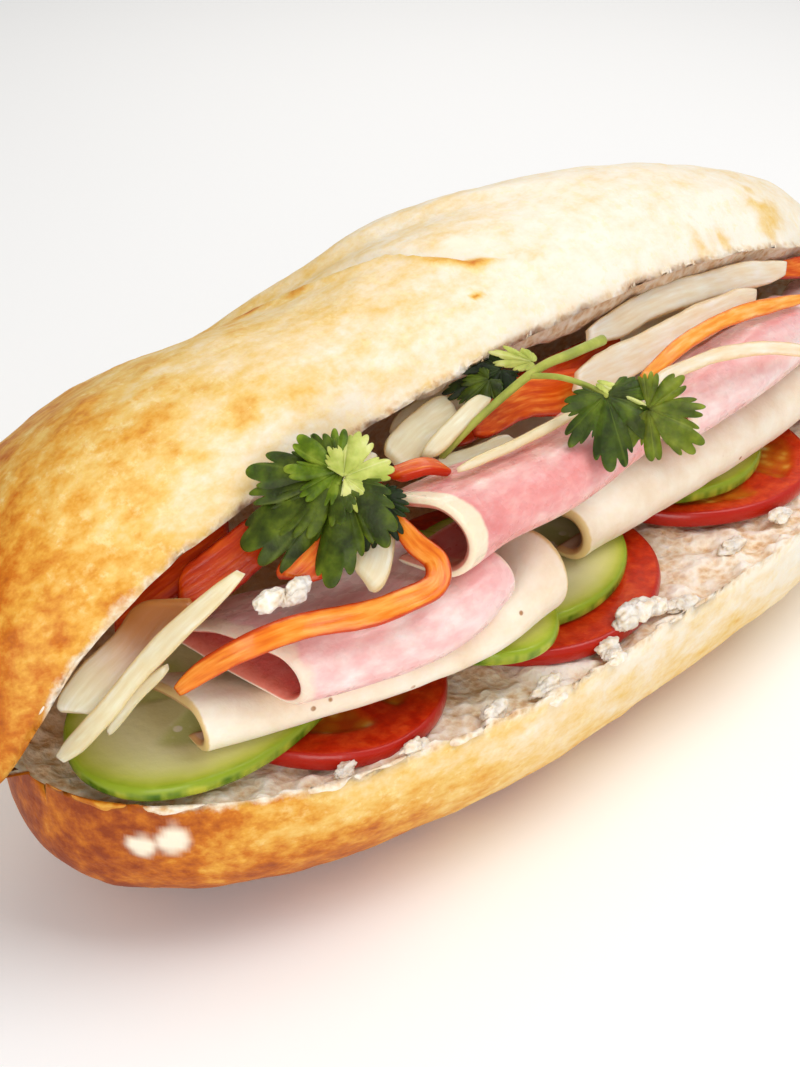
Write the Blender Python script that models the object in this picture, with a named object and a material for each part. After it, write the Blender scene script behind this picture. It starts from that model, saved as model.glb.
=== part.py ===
"""A banh mi sandwich: a short wheat-and-rice baguette, slit along one long side and
both ends, hinged on its back crust, and filled with folded ham, pork roll, tomato,
cucumber, and pickled carrot and daikon.

Frame: metres, +Z up, X along the roll, -Y the side that the mouth opens to. The origin
is the middle of the flat that the roll was baked on. Every slice and strip is a solid
of its own, and the roll is one solid, because its hinge was never cut.
"""

import math

import bmesh
import bpy
import numpy as np

MM = 0.001

# ---------------------------------------------------------------- the roll
ROLL_LENGTH = 213 * MM
ROLL_WIDTH = 88 * MM
LOWER_HEIGHT = 31 * MM      # from the table to the cut
LID_REACH = 34 * MM         # half the width of the lid's cut face
LID_HEIGHT = 27 * MM        # the lid's dome above its cut face
LID_SHIFT = -6 * MM         # the lid sits a little off the lower half
LID_STRETCH = 1.03
LID_SAG = 0.07              # the lid is this much flatter near its left end
SLASH_LIFT = 0.06           # and this much fuller behind the baker's slash
HINGE = (40 * MM, 33.5 * MM)  # y and z of the back hinge
TIP_DRIFT = (5 * MM, 1.5 * MM)  # how far the hinge line moves in and down to each tip
MOUTH_ANGLE = math.radians(36)
HINGE_WALL = 9 * MM         # crumb and crust left uncut at the back
CUT_DIP = 3 * MM            # how far the filling has pressed each cut face in
END_BLUNTNESS = 2.5         # the plan outline and the sections are squared-up ovals
END_ROUNDNESS = 2.13
SECTION_POWER = 2.4
ROLL_STATIONS = 35
CRUST_POINTS = 17           # round each half's crust
CUT_POINTS = 6              # across each cut face


def end_taper(t):
    """Share of the full width at t, from -1 at one tip of the roll to 1 at the other."""
    return (1 - np.abs(t) ** END_BLUNTNESS) ** (1 / END_ROUNDNESS)


def mouth_angle(t):
    """The mouth gapes most at the middle, and the lid droops towards both tips."""
    droop = np.where(t < 0, 0.3, 0.5) * np.abs(t) ** END_BLUNTNESS
    return MOUTH_ANGLE * (1 - droop - 0.5 * np.abs(t) ** 12 - 0.12 * np.abs(t) ** 60)


def lid_fullness(t, across):
    """The crust's swelling: lower near the left end, and risen behind a slash that runs
    slantwise from the crown towards the lip."""
    slash = 0.15 - 1.5 * (t + 0.35)
    behind = 0.5 + 0.5 * np.tanh((across - slash) / 0.2)
    risen = SLASH_LIFT * behind * np.exp(-(((t + 0.12) / 0.3) ** 2))
    return 1 + risen - LID_SAG * np.exp(-(((t + 0.66) / 0.22) ** 2))


def half_round(count):
    """Cosine and sine of a half turn, squared up by the section's power."""
    turn = np.linspace(0, math.pi, count)
    power = 2 / SECTION_POWER
    across = np.sign(np.cos(turn)) * np.abs(np.cos(turn)) ** power
    return across, np.abs(np.sin(turn)) ** power


def roll_section(t):
    """The roll's outline at station t: round the lower crust from its lip to the hinge,
    over the lid to its lip, back along the lid's cut face and out along the lower one."""
    full = end_taper(t)
    tilt = mouth_angle(t)
    hinge = np.array(HINGE) - np.array(TIP_DRIFT) * abs(t) ** 8

    def lid_point(reach, rise):
        y = hinge[0] - reach * np.cos(tilt) + rise * np.sin(tilt)
        z = hinge[1] + reach * np.sin(tilt) + rise * np.cos(tilt)
        return np.stack([y, z], -1)

    across, round_up = half_round(CRUST_POINTS)
    lower = np.stack(
        [
            -across * ROLL_WIDTH / 2 * full,
            LOWER_HEIGHT * (1 - np.minimum(1.06 * round_up * full**0.5, 1)),
        ],
        -1,
    )
    swelling = lid_fullness(t, across)
    lid = lid_point(
        LID_REACH - LID_REACH * across * full,
        LID_HEIGHT * round_up * full**0.8 * swelling,
    )
    wall = min(HINGE_WALL, 0.6 * LID_REACH * full)
    inward = np.linspace(0, 1, CUT_POINTS + 1)[1:]
    pressed = np.sin(math.pi * inward**0.7)
    lid_face = lid_point(
        LID_REACH * (1 + full) - inward * (2 * LID_REACH * full - wall),
        CUT_DIP * full * pressed,
    )
    outward = np.linspace(1, 0, CUT_POINTS + 1)[:-1] ** 1.7
    dish = np.sqrt(1 - np.abs(2 * outward - 1) ** 8)
    lower_face = np.stack(
        [
            -ROLL_WIDTH / 2 * full + outward * (ROLL_WIDTH * full - wall),
            LOWER_HEIGHT - CUT_DIP * full**0.5 * dish,
        ],
        -1,
    )
    loop = np.concatenate([lower, lid, lid_face, lower_face])
    lidness = np.repeat([0, 1, 0], [CRUST_POINTS, CRUST_POINTS + CUT_POINTS, CUT_POINTS])
    x = t * ROLL_LENGTH / 2 * (1 + (LID_STRETCH - 1) * lidness) + LID_SHIFT * lidness
    return np.column_stack([x, loop])


def roll_rings():
    """Sections from tip to tip, closer together where the ends round off."""
    spread = np.linspace(-1, 1, ROLL_STATIONS)
    stations = 0.9985 * np.sin(spread * math.pi / 2)
    return [roll_section(t) for t in stations]


# ---------------------------------------------------------------- making solids
SLICE_SIDES = 30
FOLD_POINTS = 8
FOLD_STATIONS = 8
UPWARD = (0, 0, 1)


def finish(name, mesh, colour, roughness):
    """One named object with its own material, shaded smooth but for its sharp edges."""
    piece = bpy.data.objects.new(name, mesh)
    bpy.context.scene.collection.objects.link(piece)
    material = bpy.data.materials.new(name)
    material.use_nodes = True
    shader = material.node_tree.nodes["Principled BSDF"]
    shader.inputs["Base Color"].default_value = (*colour, 1)
    shader.inputs["Roughness"].default_value = roughness
    mesh.materials.append(material)
    mesh.shade_smooth()
    mesh.set_sharp_from_angle(angle=math.radians(50))


def skin(name, rings, colour, roughness=0.3):
    """A closed skin over a row of rings of points, with a flat cap at each end."""
    bm = bmesh.new()
    loops = [[bm.verts.new(p) for p in ring] for ring in rings]
    count = len(loops[0])
    for first, second in zip(loops, loops[1:]):
        for i in range(count):
            j = (i + 1) % count
            bm.faces.new((first[i], first[j], second[j], second[i]))
    bm.faces.new(loops[0][::-1])
    bm.faces.new(loops[-1])
    bmesh.ops.triangulate(bm, faces=[f for f in bm.faces if len(f.verts) > 4])
    bmesh.ops.recalc_face_normals(bm, faces=bm.faces)
    mesh = bpy.data.meshes.new(name)
    bm.to_mesh(mesh)
    bm.free()
    finish(name, mesh, colour, roughness)


def smooth_route(points, count):
    """Points evenly spread along a smooth curve through the route's own points."""
    points = np.array(points, float)
    ends = [2 * points[0] - points[1], 2 * points[-1] - points[-2]]
    knots = np.vstack([ends[0], points, ends[1]])
    spans = len(points) - 1
    route = []
    for step in np.linspace(0, spans, count):
        k = min(int(step), spans - 1)
        u = step - k
        a, b, c, d = knots[k : k + 4]
        bend = 2 * a - 5 * b + 4 * c - d
        route.append(b + 0.5 * u * (c - a + u * (bend + u * (3 * (b - c) + d - a))))
    return np.array(route)


def directions(route):
    """The unit direction of travel at each point of a route."""
    along = np.gradient(route, axis=0)
    return along / np.linalg.norm(along, axis=1)[:, None]


def round_slice(name, centre, radii, lean, thickness, colour):
    """A flat, slightly lobed slice with a softened rim, measured in mm. Its centre is on
    its underside, and lean is its rise along x."""
    turn = np.linspace(0, 2 * math.pi, SLICE_SIDES, endpoint=False)
    lobes = 1 + 0.02 * np.sin(3 * turn + centre[0])
    rings = []
    for share, height in ((0.965, 0), (1, 0.3), (1, 0.7), (0.965, 1)):
        x = radii[0] * share * lobes * np.cos(turn)
        y = radii[1] * share * lobes * np.sin(turn)
        z = height * thickness + lean * x
        rings.append((np.column_stack([x, y, z]) + centre) * MM)
    skin(name, rings, colour)


def folded_section(roll, under, over, droop, thickness):
    """The outline of a slice folded over on itself, as distances back and up from the
    lowest front corner of the fold: the layer below, round the fold, the layer above."""
    turn = np.linspace(-math.pi / 2, -3 * math.pi / 2, FOLD_POINTS)
    middle = roll - thickness / 2
    bend = np.stack([roll + middle * np.cos(turn), roll + middle * np.sin(turn)], -1)
    below = np.array([[roll + under, thickness / 2 + 0.1 * under]])
    share = np.array([0.5, 1])
    above = np.stack([roll + over * share, roll + middle - droop * share**1.5], -1)
    sheet = np.vstack([below, bend, above])
    across = np.gradient(sheet, axis=0)
    across = across[:, ::-1] * (1, -1) / np.linalg.norm(across, axis=1)[:, None]
    half = thickness / 2
    return np.vstack([sheet + across * half, (sheet - across * half)[::-1]])


def folded_slice(name, route, under, over, droop, thickness, slant, colour):
    """A slice of meat folded along a route of x, y, z and the fold's radius, in mm. At
    the first end its layers reach on by slant for each mm that they go back."""
    stations = smooth_route(route, FOLD_STATIONS)
    along = directions(stations[:, :3])
    slants = np.linspace(-slant, 0, FOLD_STATIONS)
    rings = []
    for (*corner, roll), way, lean in zip(stations, along, slants):
        back = np.cross(UPWARD, way)
        back /= np.linalg.norm(back)
        lift = np.cross(way, back)
        section = folded_section(roll, under, over, droop, thickness)
        ring = corner + section[:, 1:] * lift + section[:, :1] * (back + lean * way)
        rings.append(ring * MM)
    skin(name, rings, colour)


def strip(name, route, width, thickness, facing, colour):
    """A shaved strip along a route in mm, its flat side turned towards facing and its
    ends a little narrower than its middle."""
    stations = smooth_route(route, 2 * len(route))
    along = directions(stations)
    corners = np.array([(1, 0), (0.8, 1), (-0.8, 1), (-1, 0), (-0.8, -1), (0.8, -1)])
    rings = []
    for share, point, way in zip(np.linspace(-1, 1, len(stations)), stations, along):
        side = np.cross(facing, way)
        side /= np.linalg.norm(side)
        flat = np.cross(way, side)
        half_width = width / 2 * (1 - 0.35 * share**4)
        ring = corners[:, :1] * half_width * side + corners[:, 1:] * thickness / 2 * flat
        rings.append((point + ring) * MM)
    skin(name, rings, colour)


# ---------------------------------------------------------------- the fillings, in mm
OUT_OF_MOUTH = (-0.63, -0.58, 0.51)
FORWARD = (0, -1, 0)

# centre of the underside; radii along x and y; rise along x
TOMATO_THICKNESS = 3.0
TOMATOES = {
    "tomato_slice_1": ((-62, -14, 29.1), (20.2, 20.2), 0),
    "tomato_slice_2": ((-17, -16, 29.1), (25.2, 24.4), 0),
    "tomato_slice_3": ((36, -11.5, 29.1), (24, 24), 0),
    "tomato_slice_4": ((80, -8, 29.4), (18.5, 17), 0),
}
CUCUMBER_THICKNESS = 2.5
CUCUMBERS = {
    "cucumber_slice_1": ((-79, -6.8, 32.4), (24, 18), 0.08),
    "cucumber_slice_2": ((-37.5, -16, 35.3), (15.5, 22.3), 0),
    "cucumber_slice_3": ((-18, -16.3, 32.4), (22, 17.6), 0),
    "cucumber_slice_4": ((32, -9, 32.4), (21, 19), 0),
    "cucumber_slice_5": ((76, -5, 32.8), (17, 16), 0),
}
# route of the fold's x, y, z and radius; reach of the layers below and above, droop of the
# one above, thickness, slant
PORK_SLICES = {
    "pork_roll_slice_1": (
        [(-90, -20, 34.3, 4.3), (-80, -25, 35.6, 3.4), (-62, -34, 37.9, 3.0),
         (-46, -37.5, 38.1, 3.6), (-31, -38, 38.1, 7)], 2, 15, 4, 1.8, 0.25),
    "pork_roll_slice_2": (
        [(-13, -28, 35.2, 4.8), (10, -29, 35.6, 5.4), (34, -30, 36.0, 6),
         (60, -28, 36.5, 5.5)], 2, 26, 0, 2.0, 0.1),
    "pork_roll_slice_3": (
        [(65, -27, 36.0, 4.5), (80, -22, 36.4, 4.5), (94, -15, 36.8, 3.5)],
        2, 18, 0, 1.8, 0),
}
HAM_SLICES = {
    "ham_slice_1": (
        [(-81, -31, 42.7, 5), (-66, -38, 44.2, 5.1), (-54, -40, 45.4, 5.1),
         (-44, -38, 46.3, 5.2)], 20, 22, 5, 1.6, 0.5),
    "ham_slice_2": (
        [(-56, -40, 56.5, 6.5), (-45, -39, 57.0, 5.6), (-30, -40, 57.4, 5),
         (-10, -38, 58.7, 4.4)], 6, 10, 3, 1.6, 0.15),
    "ham_slice_3": (
        [(8, -33, 50.5, 4.6), (22, -34, 51.5, 5.3), (38, -33, 52.0, 5.3),
         (60, -28, 50.5, 4.4)], 12, 9, 2, 1.6, 0.2),
    "ham_slice_4": (
        [(66, -26, 46.0, 4.5), (78, -21, 46.2, 4.4), (89, -15, 44.7, 3.3)],
        8, 9, 2, 1.6, 0),
}
# route; width, thickness, facing
CARROTS = {
    "carrot_strip_1": ([(-93, -4, 53), (-84, -6, 57), (-74, -8.5, 61.5)], 6, 1.8, OUT_OF_MOUTH),
    "carrot_strip_2": ([(-86, -10, 56), (-79, -13, 60), (-71, -16, 64)], 7, 1.8, OUT_OF_MOUTH),
    "carrot_strip_3": (
        [(-94, -18, 48), (-91, -22, 52.5), (-87, -26, 56), (-80, -29, 57), (-74, -34, 58),
         (-70, -37, 59), (-64, -39, 60), (-61, -37, 62), (-61.5, -33, 64), (-61.5, -28, 67)],
        3.6, 1.4, OUT_OF_MOUTH),
    "carrot_strip_4": ([(-76, -23, 60), (-72, -24, 63), (-66, -24, 66)], 6, 1.8, OUT_OF_MOUTH),
    "carrot_strip_5": ([(-57, -24, 69), (-52, -26, 69.5), (-48, -27, 68)], 3.6, 1.4, UPWARD),
    "carrot_strip_6": ([(-31, -17.5, 65), (-21, -17, 65), (-2, -18, 62)], 7, 1.8, OUT_OF_MOUTH),
    "carrot_strip_7": ([(-33, -19.5, 57), (-20, -19.5, 57), (-4, -20, 56)], 5, 1.8, OUT_OF_MOUTH),
    "carrot_strip_8": ([(-14, -12, 62), (0, -11, 62), (16, -11, 61)], 5, 1.8, OUT_OF_MOUTH),
    "carrot_strip_9": ([(0, -27, 65), (17, -26, 67), (32, -26, 66), (50, -26, 62.5)], 2.8, 1.8,
                       OUT_OF_MOUTH),
    "carrot_strip_10": ([(-70, -12, 58), (-57, -10, 60), (-44, -9, 61)], 7, 1.8, OUT_OF_MOUTH),
    "carrot_strip_11": ([(-28, -8, 58), (-8, -7, 58), (14, -7, 58)], 6, 1.8, OUT_OF_MOUTH),
    "carrot_strip_12": ([(61, -13, 60.5), (69, -13.5, 59), (78, -13, 56.5)], 4, 1.8,
                        OUT_OF_MOUTH),
}
DAIKONS = {
    "daikon_strip_1": ([(-103.5, -7, 44), (-97, -10.5, 51), (-88.5, -12.5, 58)], 8, 2,
                       OUT_OF_MOUTH),
    "daikon_strip_2": ([(-106, -6, 36.6), (-103, -12, 45), (-97, -18, 56), (-88, -26, 68)],
                       3, 1.4, OUT_OF_MOUTH),
    "daikon_strip_3": ([(-101.5, -11.5, 41.6), (-98.5, -14.5, 47.6), (-95, -18, 52.6)], 1.6, 1.2,
                       OUT_OF_MOUTH),
    "daikon_strip_4": ([(-70, -31, 60.5), (-65, -28.5, 62.5), (-61, -25, 65)], 6, 1.4,
                       OUT_OF_MOUTH),
    "daikon_strip_5": ([(-49, -17, 66), (-40, -15, 67), (-31, -14, 67)], 6, 1.6,
                       OUT_OF_MOUTH),
    "daikon_strip_6": ([(-46, -21.5, 67), (-38, -20.5, 69), (-30, -19.5, 70.5)], 3, 1.4,
                       OUT_OF_MOUTH),
    "daikon_strip_7": ([(-43, -21.5, 63.5), (-34, -22, 62.5), (-25, -21.5, 61.5)], 4, 1.4,
                       OUT_OF_MOUTH),
    "daikon_strip_8": ([(-50, -31, 70), (-34, -31, 69), (-17, -31, 68.5)], 1.6, 1.4,
                       OUT_OF_MOUTH),
    "daikon_strip_9": ([(-10, -21, 66), (7, -21, 65), (24, -21, 65), (42, -21, 63.5)], 6, 1.8,
                       OUT_OF_MOUTH),
    "daikon_strip_10": ([(2, -14, 67.5), (24, -14, 67), (44, -15, 65), (58, -17, 63)], 5, 1.8,
                        OUT_OF_MOUTH),
    "daikon_strip_11": ([(-9, -33, 64), (-3, -33, 68), (7.5, -33.5, 67.8), (17, -34.5, 66.5),
                         (25, -35.5, 64.5), (34, -36, 61), (43, -35.5, 57)], 2.4, 1.6,
                        OUT_OF_MOUTH),
    "daikon_strip_12": ([(-67, -17, 65), (-59, -17, 67), (-52, -15, 68)], 5, 1.6, OUT_OF_MOUTH),
    "daikon_strip_13": ([(20, -7, 57.5), (38, -7, 57), (55, -8, 55)], 5, 1.6, OUT_OF_MOUTH),
    "daikon_strip_14": ([(-42, -11, 65), (-30, -10, 66), (-17, -10, 66)], 5, 1.6, OUT_OF_MOUTH),
    "daikon_strip_15": ([(60, -26, 60.5), (72, -24, 59), (84, -19, 56.5)], 4, 1.6, FORWARD),
}


BREAD_COLOUR = (0.72, 0.42, 0.14)
TOMATO_COLOUR = (0.62, 0.05, 0.02)
CUCUMBER_COLOUR = (0.55, 0.68, 0.25)
PORK_COLOUR = (0.84, 0.72, 0.58)
HAM_COLOUR = (0.83, 0.4, 0.42)
CARROT_COLOUR = (0.9, 0.22, 0.01)
DAIKON_COLOUR = (0.85, 0.74, 0.52)


def build_roll():
    skin("bread_roll", roll_rings(), BREAD_COLOUR, roughness=0.6)


def build_round_slices():
    for name, shape in TOMATOES.items():
        round_slice(name, *shape, TOMATO_THICKNESS, TOMATO_COLOUR)
    for name, shape in CUCUMBERS.items():
        round_slice(name, *shape, CUCUMBER_THICKNESS, CUCUMBER_COLOUR)


def build_meat():
    for name, shape in PORK_SLICES.items():
        folded_slice(name, *shape, PORK_COLOUR)
    for name, shape in HAM_SLICES.items():
        folded_slice(name, *shape, HAM_COLOUR)


def build_pickles():
    for name, shape in CARROTS.items():
        strip(name, *shape, CARROT_COLOUR)
    for name, shape in DAIKONS.items():
        strip(name, *shape, DAIKON_COLOUR)


def clear_scene():
    for old in list(bpy.data.objects):
        bpy.data.objects.remove(old)


clear_scene()
build_roll()
build_round_slices()
build_meat()
build_pickles()
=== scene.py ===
"""The looks of a banh mi: a short crusty baguette, slit and filled with ham, pork roll,
tomato, cucumber, pickled carrot and daikon, and coriander.

Each section makes one kind of piece, in the order in which the sandwich is put together,
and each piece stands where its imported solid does. Lengths are in millimetres, and become
metres where a mesh is made.
"""

import math

import bpy
import numpy as np
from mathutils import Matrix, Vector


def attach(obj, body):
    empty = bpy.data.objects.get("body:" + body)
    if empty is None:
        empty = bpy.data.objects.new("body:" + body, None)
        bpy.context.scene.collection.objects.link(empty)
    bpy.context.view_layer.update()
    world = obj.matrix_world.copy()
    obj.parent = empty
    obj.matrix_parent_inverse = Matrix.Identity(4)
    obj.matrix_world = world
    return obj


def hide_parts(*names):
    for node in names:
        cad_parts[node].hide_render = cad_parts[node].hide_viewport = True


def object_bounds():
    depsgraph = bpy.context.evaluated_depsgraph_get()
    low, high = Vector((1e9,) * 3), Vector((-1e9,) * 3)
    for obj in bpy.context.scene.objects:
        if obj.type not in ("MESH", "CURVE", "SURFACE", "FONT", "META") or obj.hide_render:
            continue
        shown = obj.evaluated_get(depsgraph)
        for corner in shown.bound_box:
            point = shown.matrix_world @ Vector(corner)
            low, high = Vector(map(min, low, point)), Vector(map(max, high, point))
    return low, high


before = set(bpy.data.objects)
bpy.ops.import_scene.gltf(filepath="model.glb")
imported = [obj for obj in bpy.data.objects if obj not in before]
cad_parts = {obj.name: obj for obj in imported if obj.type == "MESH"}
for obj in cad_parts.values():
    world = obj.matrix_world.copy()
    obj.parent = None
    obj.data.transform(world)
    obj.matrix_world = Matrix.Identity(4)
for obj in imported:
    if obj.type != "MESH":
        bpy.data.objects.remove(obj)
cad_low, cad_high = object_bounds()
MM = 0.001

# ---------------------------------------------------------------- camera, light, table
# A white table under one big soft light, high on the open side, with a low one in front
# that reaches in under the lid, and a weak one behind that draws the crust's far edge.
scene = bpy.context.scene
scene.view_settings.view_transform = "Standard"


def hex_colour(code):
    """A colour from its sRGB hex code: each channel is divided by 12.92 where it is small,
    and otherwise taken as ((value + 0.055) / 1.055) to the power 2.4."""
    value = np.array([int(code[i : i + 2], 16) / 255 for i in (0, 2, 4)])
    linear = np.where(value <= 0.04045, value / 12.92, ((value + 0.055) / 1.055) ** 2.4)
    return (*linear, 1.0)


def look_along(thing, place, target):
    """Puts a camera or light at place, turned so that its -Z points at target."""
    thing.location = Vector(place) * MM
    thing.rotation_mode = "QUATERNION"
    way = Vector(target) - Vector(place)
    thing.rotation_quaternion = way.to_track_quat("-Z", "Y")
    scene.collection.objects.link(thing)


camera = bpy.data.objects.new("camera", bpy.data.cameras.new("camera"))
camera.data.lens = 67.0
camera.data.sensor_width = 36
camera.data.clip_start = 0.01
look_along(camera, (-239.5, -193.5, 207.6), (-24, 4, 34))
scene.camera = camera


def soft_light(name, place, target, width, watts, code):
    """A square area light of that width, which gives soft-edged shadows."""
    light = bpy.data.lights.new(name, "AREA")
    light.size = width * MM
    light.energy = watts
    light.color = hex_colour(code)[:3]
    look_along(bpy.data.objects.new(name, light), place, target)


soft_light("window", (100, -200, 540), (-10, 0, 40), 420, 1.98, "FFFFFF")
soft_light("back_window", (330, 300, 330), (0, 0, 40), 260, 0.45, "FFFAF2")
soft_light("front_fill", (-430, -330, 180), (-10, -10, 45), 320, 1.3, "FFFBF5")

room = bpy.data.worlds.new("room")
room.use_nodes = True
room.node_tree.nodes["Background"].inputs["Color"].default_value = hex_colour("FFFFFF")
room.node_tree.nodes["Background"].inputs["Strength"].default_value = 0.44
scene.world = room


def join(node, **inputs):
    """Sets a node's inputs, named with _ for a space, or numbered after an i. Each is given
    another node's output to join, a hex code or a value."""
    for key, value in inputs.items():
        numbered = key[0] == "i" and key[1:].isdigit()
        socket = node.inputs[int(key[1:]) if numbered else key.replace("_", " ")]
        if isinstance(value, bpy.types.NodeSocket):
            node.id_data.links.new(value, socket)
        else:
            socket.default_value = hex_colour(value) if isinstance(value, str) else value


def add(tree, kind, out, settings=None, **inputs):
    """The output named out of a new node. Settings are the node's own properties, and
    stops among them are the places and hex codes of a colour ramp."""
    node = tree.nodes.new("ShaderNode" + kind)
    for key, value in (settings or {}).items():
        if key == "stops":
            band = node.color_ramp
            while len(band.elements) < len(value):
                band.elements.new(0.5)
            for element, (place, code) in zip(band.elements, value):
                element.position, element.color = place, hex_colour(code)
        else:
            setattr(node, key, value)
    join(node, **inputs)
    return node.outputs[out]


def new_material(name, scatter=None, **sockets):
    """A Principled material, and its tree and shader, with those of its sockets set.
    Scatter is the share of light that goes in, and how many mm of red, green and blue."""
    material = bpy.data.materials.new(name)
    material.use_nodes = True
    shader = material.node_tree.nodes["Principled BSDF"]
    join(shader, **sockets)
    if scatter:
        reach = [length * MM for length in scatter[1:]]
        join(shader, Subsurface_Weight=scatter[0], Subsurface_Radius=reach, Subsurface_Scale=1.0)
    return material, material.node_tree, shader


table_finish, _, _ = new_material("matt_white_table", Base_Color="FDFDFD", Roughness=0.8)
floor_mesh = bpy.data.meshes.new("table")
reach = 4.0
floor_mesh.from_pydata(
    [(-reach, -reach, 0), (reach, -reach, 0), (reach, reach, 0), (-reach, reach, 0)], [], [(0, 1, 2, 3)]
)
floor_mesh.materials.append(table_finish)
floor = bpy.data.objects.new("table", floor_mesh)
floor.location.z = cad_low.z - 0.0002
scene.collection.objects.link(floor)

# ---------------------------------------------------------------- bread roll
# A baguette of wheat and rice flour: a thin, brittle, blistered crust round a loose white
# crumb. It is proved, slashed once, baked on its flat side, then slit along the front.
ROLL_LENGTH, ROLL_WIDTH, LOWER_HEIGHT = 213, 88, 31
LID_REACH, LID_HEIGHT, LID_SHIFT, LID_STRETCH = 34, 27, -6, 1.03
SLASH_LIFT, SLASH_NOTCH, LID_DIP, RIGHT_DIP = 0.1, 0.1, 0.12, 0.04
HINGE, TIP_DRIFT = np.array([40, 33.5]), np.array([5, 1.5])
HINGE_WALL, CUT_DIP, LIP_CRUMB = 9, 3, 3.6
MOUTH_ANGLE = math.radians(36)


def lumps(points, size, seed):
    """Smooth random values from -1 to 1: one at each corner of a lattice of cubes of that
    size, and between them the corners' values weighted by 3u^2 - 2u^3 along each side."""
    table = np.random.default_rng(seed).uniform(-1, 1, (32, 32, 32))
    place = np.asarray(points, float) / size + 320.5
    cell = np.floor(place).astype(int)
    part = place - cell
    part = part * part * (3 - 2 * part)
    total = 0
    for corner in np.ndindex(2, 2, 2):
        weight = np.prod(np.where(corner, part, 1 - part), axis=-1)
        i, j, k = np.moveaxis((cell + corner) % 32, -1, 0)
        total = total + weight * table[i, j, k]
    return total


def pores(points, size, seed):
    """Distance, in cubes of that size, to the nearest of one random spot in each cube."""
    spots = np.random.default_rng(seed).uniform(0, 1, (24, 24, 24, 3))
    place = np.asarray(points, float) / size + 240.5
    cell = np.floor(place).astype(int)
    nearest = np.full(place.shape[:-1], 9.0)
    for step in np.ndindex(3, 3, 3):
        near = cell + np.array(step) - 1
        i, j, k = np.moveaxis(near % 24, -1, 0)
        nearest = np.minimum(nearest, np.linalg.norm(near + spots[i, j, k] - place, axis=-1))
    return nearest


def ease(value, low, high):
    """0 below low and 1 above high, with 3u^2 - 2u^3 between them."""
    u = np.clip((value - low) / (high - low), 0, 1)
    return u * u * (3 - 2 * u)


def grid_normals(points):
    """Unit normals of a grid of points, from the cross product of its two gradients."""
    normal = np.cross(np.gradient(points, axis=0), np.gradient(points, axis=1))
    return normal / np.maximum(np.linalg.norm(normal, axis=-1, keepdims=True), 1e-12)


def squared_half_turn(share):
    """Across and up on a half turn of the unit oval |x|^2.4 + |y|^2.4 = 1."""
    across, rise = np.cos(math.pi * share), np.sin(math.pi * share)
    return np.sign(across) * np.abs(across) ** (2 / 2.4), np.abs(rise) ** (2 / 2.4)


def roll_points(t, share, span):
    """The roll's surface in mm at stations t, from -1 at the left tip to 1 at the right,
    and shares of one of its four spans. The lower crust and the lid's crust are squared
    half ovals, and the two cut faces are flat with a pressed dip. All of them are scaled by
    the end taper (1 - |t|^2.5)^(1/2.13), and the lid is turned about the hinge. The lid
    swells by bells e^-u^2 in t: one behind the baker's slash, less a notch at the slash's
    end, a dip left of it and a slight one right of it. A roll of torn crumb hangs just
    inside the lid's lip."""
    full = (1 - np.abs(t) ** 2.5) ** (1 / 2.13)
    hinge = HINGE - TIP_DRIFT * np.abs(t)[..., None] ** 8
    droop = np.where(t < 0, 0.3, 0.5) * np.abs(t) ** 2.5
    tilt = MOUTH_ANGLE * (1 - droop - 0.5 * np.abs(t) ** 12 - 0.12 * np.abs(t) ** 60)
    wall = np.minimum(HINGE_WALL, 0.6 * LID_REACH * full)
    across, rise = squared_half_turn(share)
    lidness = 0.0 * share
    if span == "lower_crust":
        y = -across * ROLL_WIDTH / 2 * full
        z = LOWER_HEIGHT * (1 - np.minimum(1.06 * rise * full**0.5, 1))
    elif span == "lower_face":
        y = -ROLL_WIDTH / 2 * full + share * (ROLL_WIDTH * full - wall)
        z = LOWER_HEIGHT - CUT_DIP * full**0.5 * np.sqrt(1 - np.abs(2 * share - 1) ** 8)
    else:
        lidness = lidness + 1
        if span == "lid_crust":
            slash = 0.15 - 1.5 * (t + 0.35)
            behind = 0.5 + 0.5 * np.tanh((across - slash) / 0.05)
            notch = np.exp(-(((t + 0.12) / 0.1) ** 2) - ((share - 0.38) / 0.14) ** 2)
            swell = 1 + SLASH_LIFT * behind * np.exp(-(((t + 0.05) / 0.3) ** 2)) - SLASH_NOTCH * notch
            swell = swell - LID_DIP * np.exp(-(((t + 0.33) / 0.18) ** 2))
            swell = swell - RIGHT_DIP * np.exp(-(((t - 0.6) / 0.25) ** 2))
            out = LID_REACH * (1 - across * full)
            up = LID_HEIGHT * rise * full ** np.where(t < 0, 0.45, 0.8) * swell
        else:
            out = LID_REACH * (1 + full) - share * (2 * LID_REACH * full - wall)
            up = CUT_DIP * full * np.sin(math.pi * share**0.7)
            torn = ease(share, 0, 0.05) * np.exp(-(((share - 0.1) / 0.06) ** 2)) * ease(t, -0.5, -0.1)
            up = up - LIP_CRUMB * full * torn
        y = hinge[..., 0] - out * np.cos(tilt) + up * np.sin(tilt)
        z = hinge[..., 1] + out * np.sin(tilt) + up * np.cos(tilt)
    x = t * ROLL_LENGTH / 2 * (1 + (LID_STRETCH - 1) * lidness) + LID_SHIFT * lidness
    return np.stack([x, y, z], -1)


def closed_mesh(name, points, faces):
    """A mesh of points in mm, in place, shaded smooth."""
    mesh = bpy.data.meshes.new(name)
    mesh.from_pydata((np.asarray(points).reshape(-1, 3) * MM).tolist(), [], faces)
    mesh.validate()
    mesh.shade_smooth()
    return mesh


def place_piece(name, mesh, finish, nodes=()):
    """The piece's object at the origin, on the sandwich's one body, standing for its nodes."""
    piece = bpy.data.objects.new(name, mesh)
    mesh.materials.append(finish)
    scene.collection.objects.link(piece)
    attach(piece, "root")
    if nodes:
        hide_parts(*nodes)
    return piece


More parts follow.
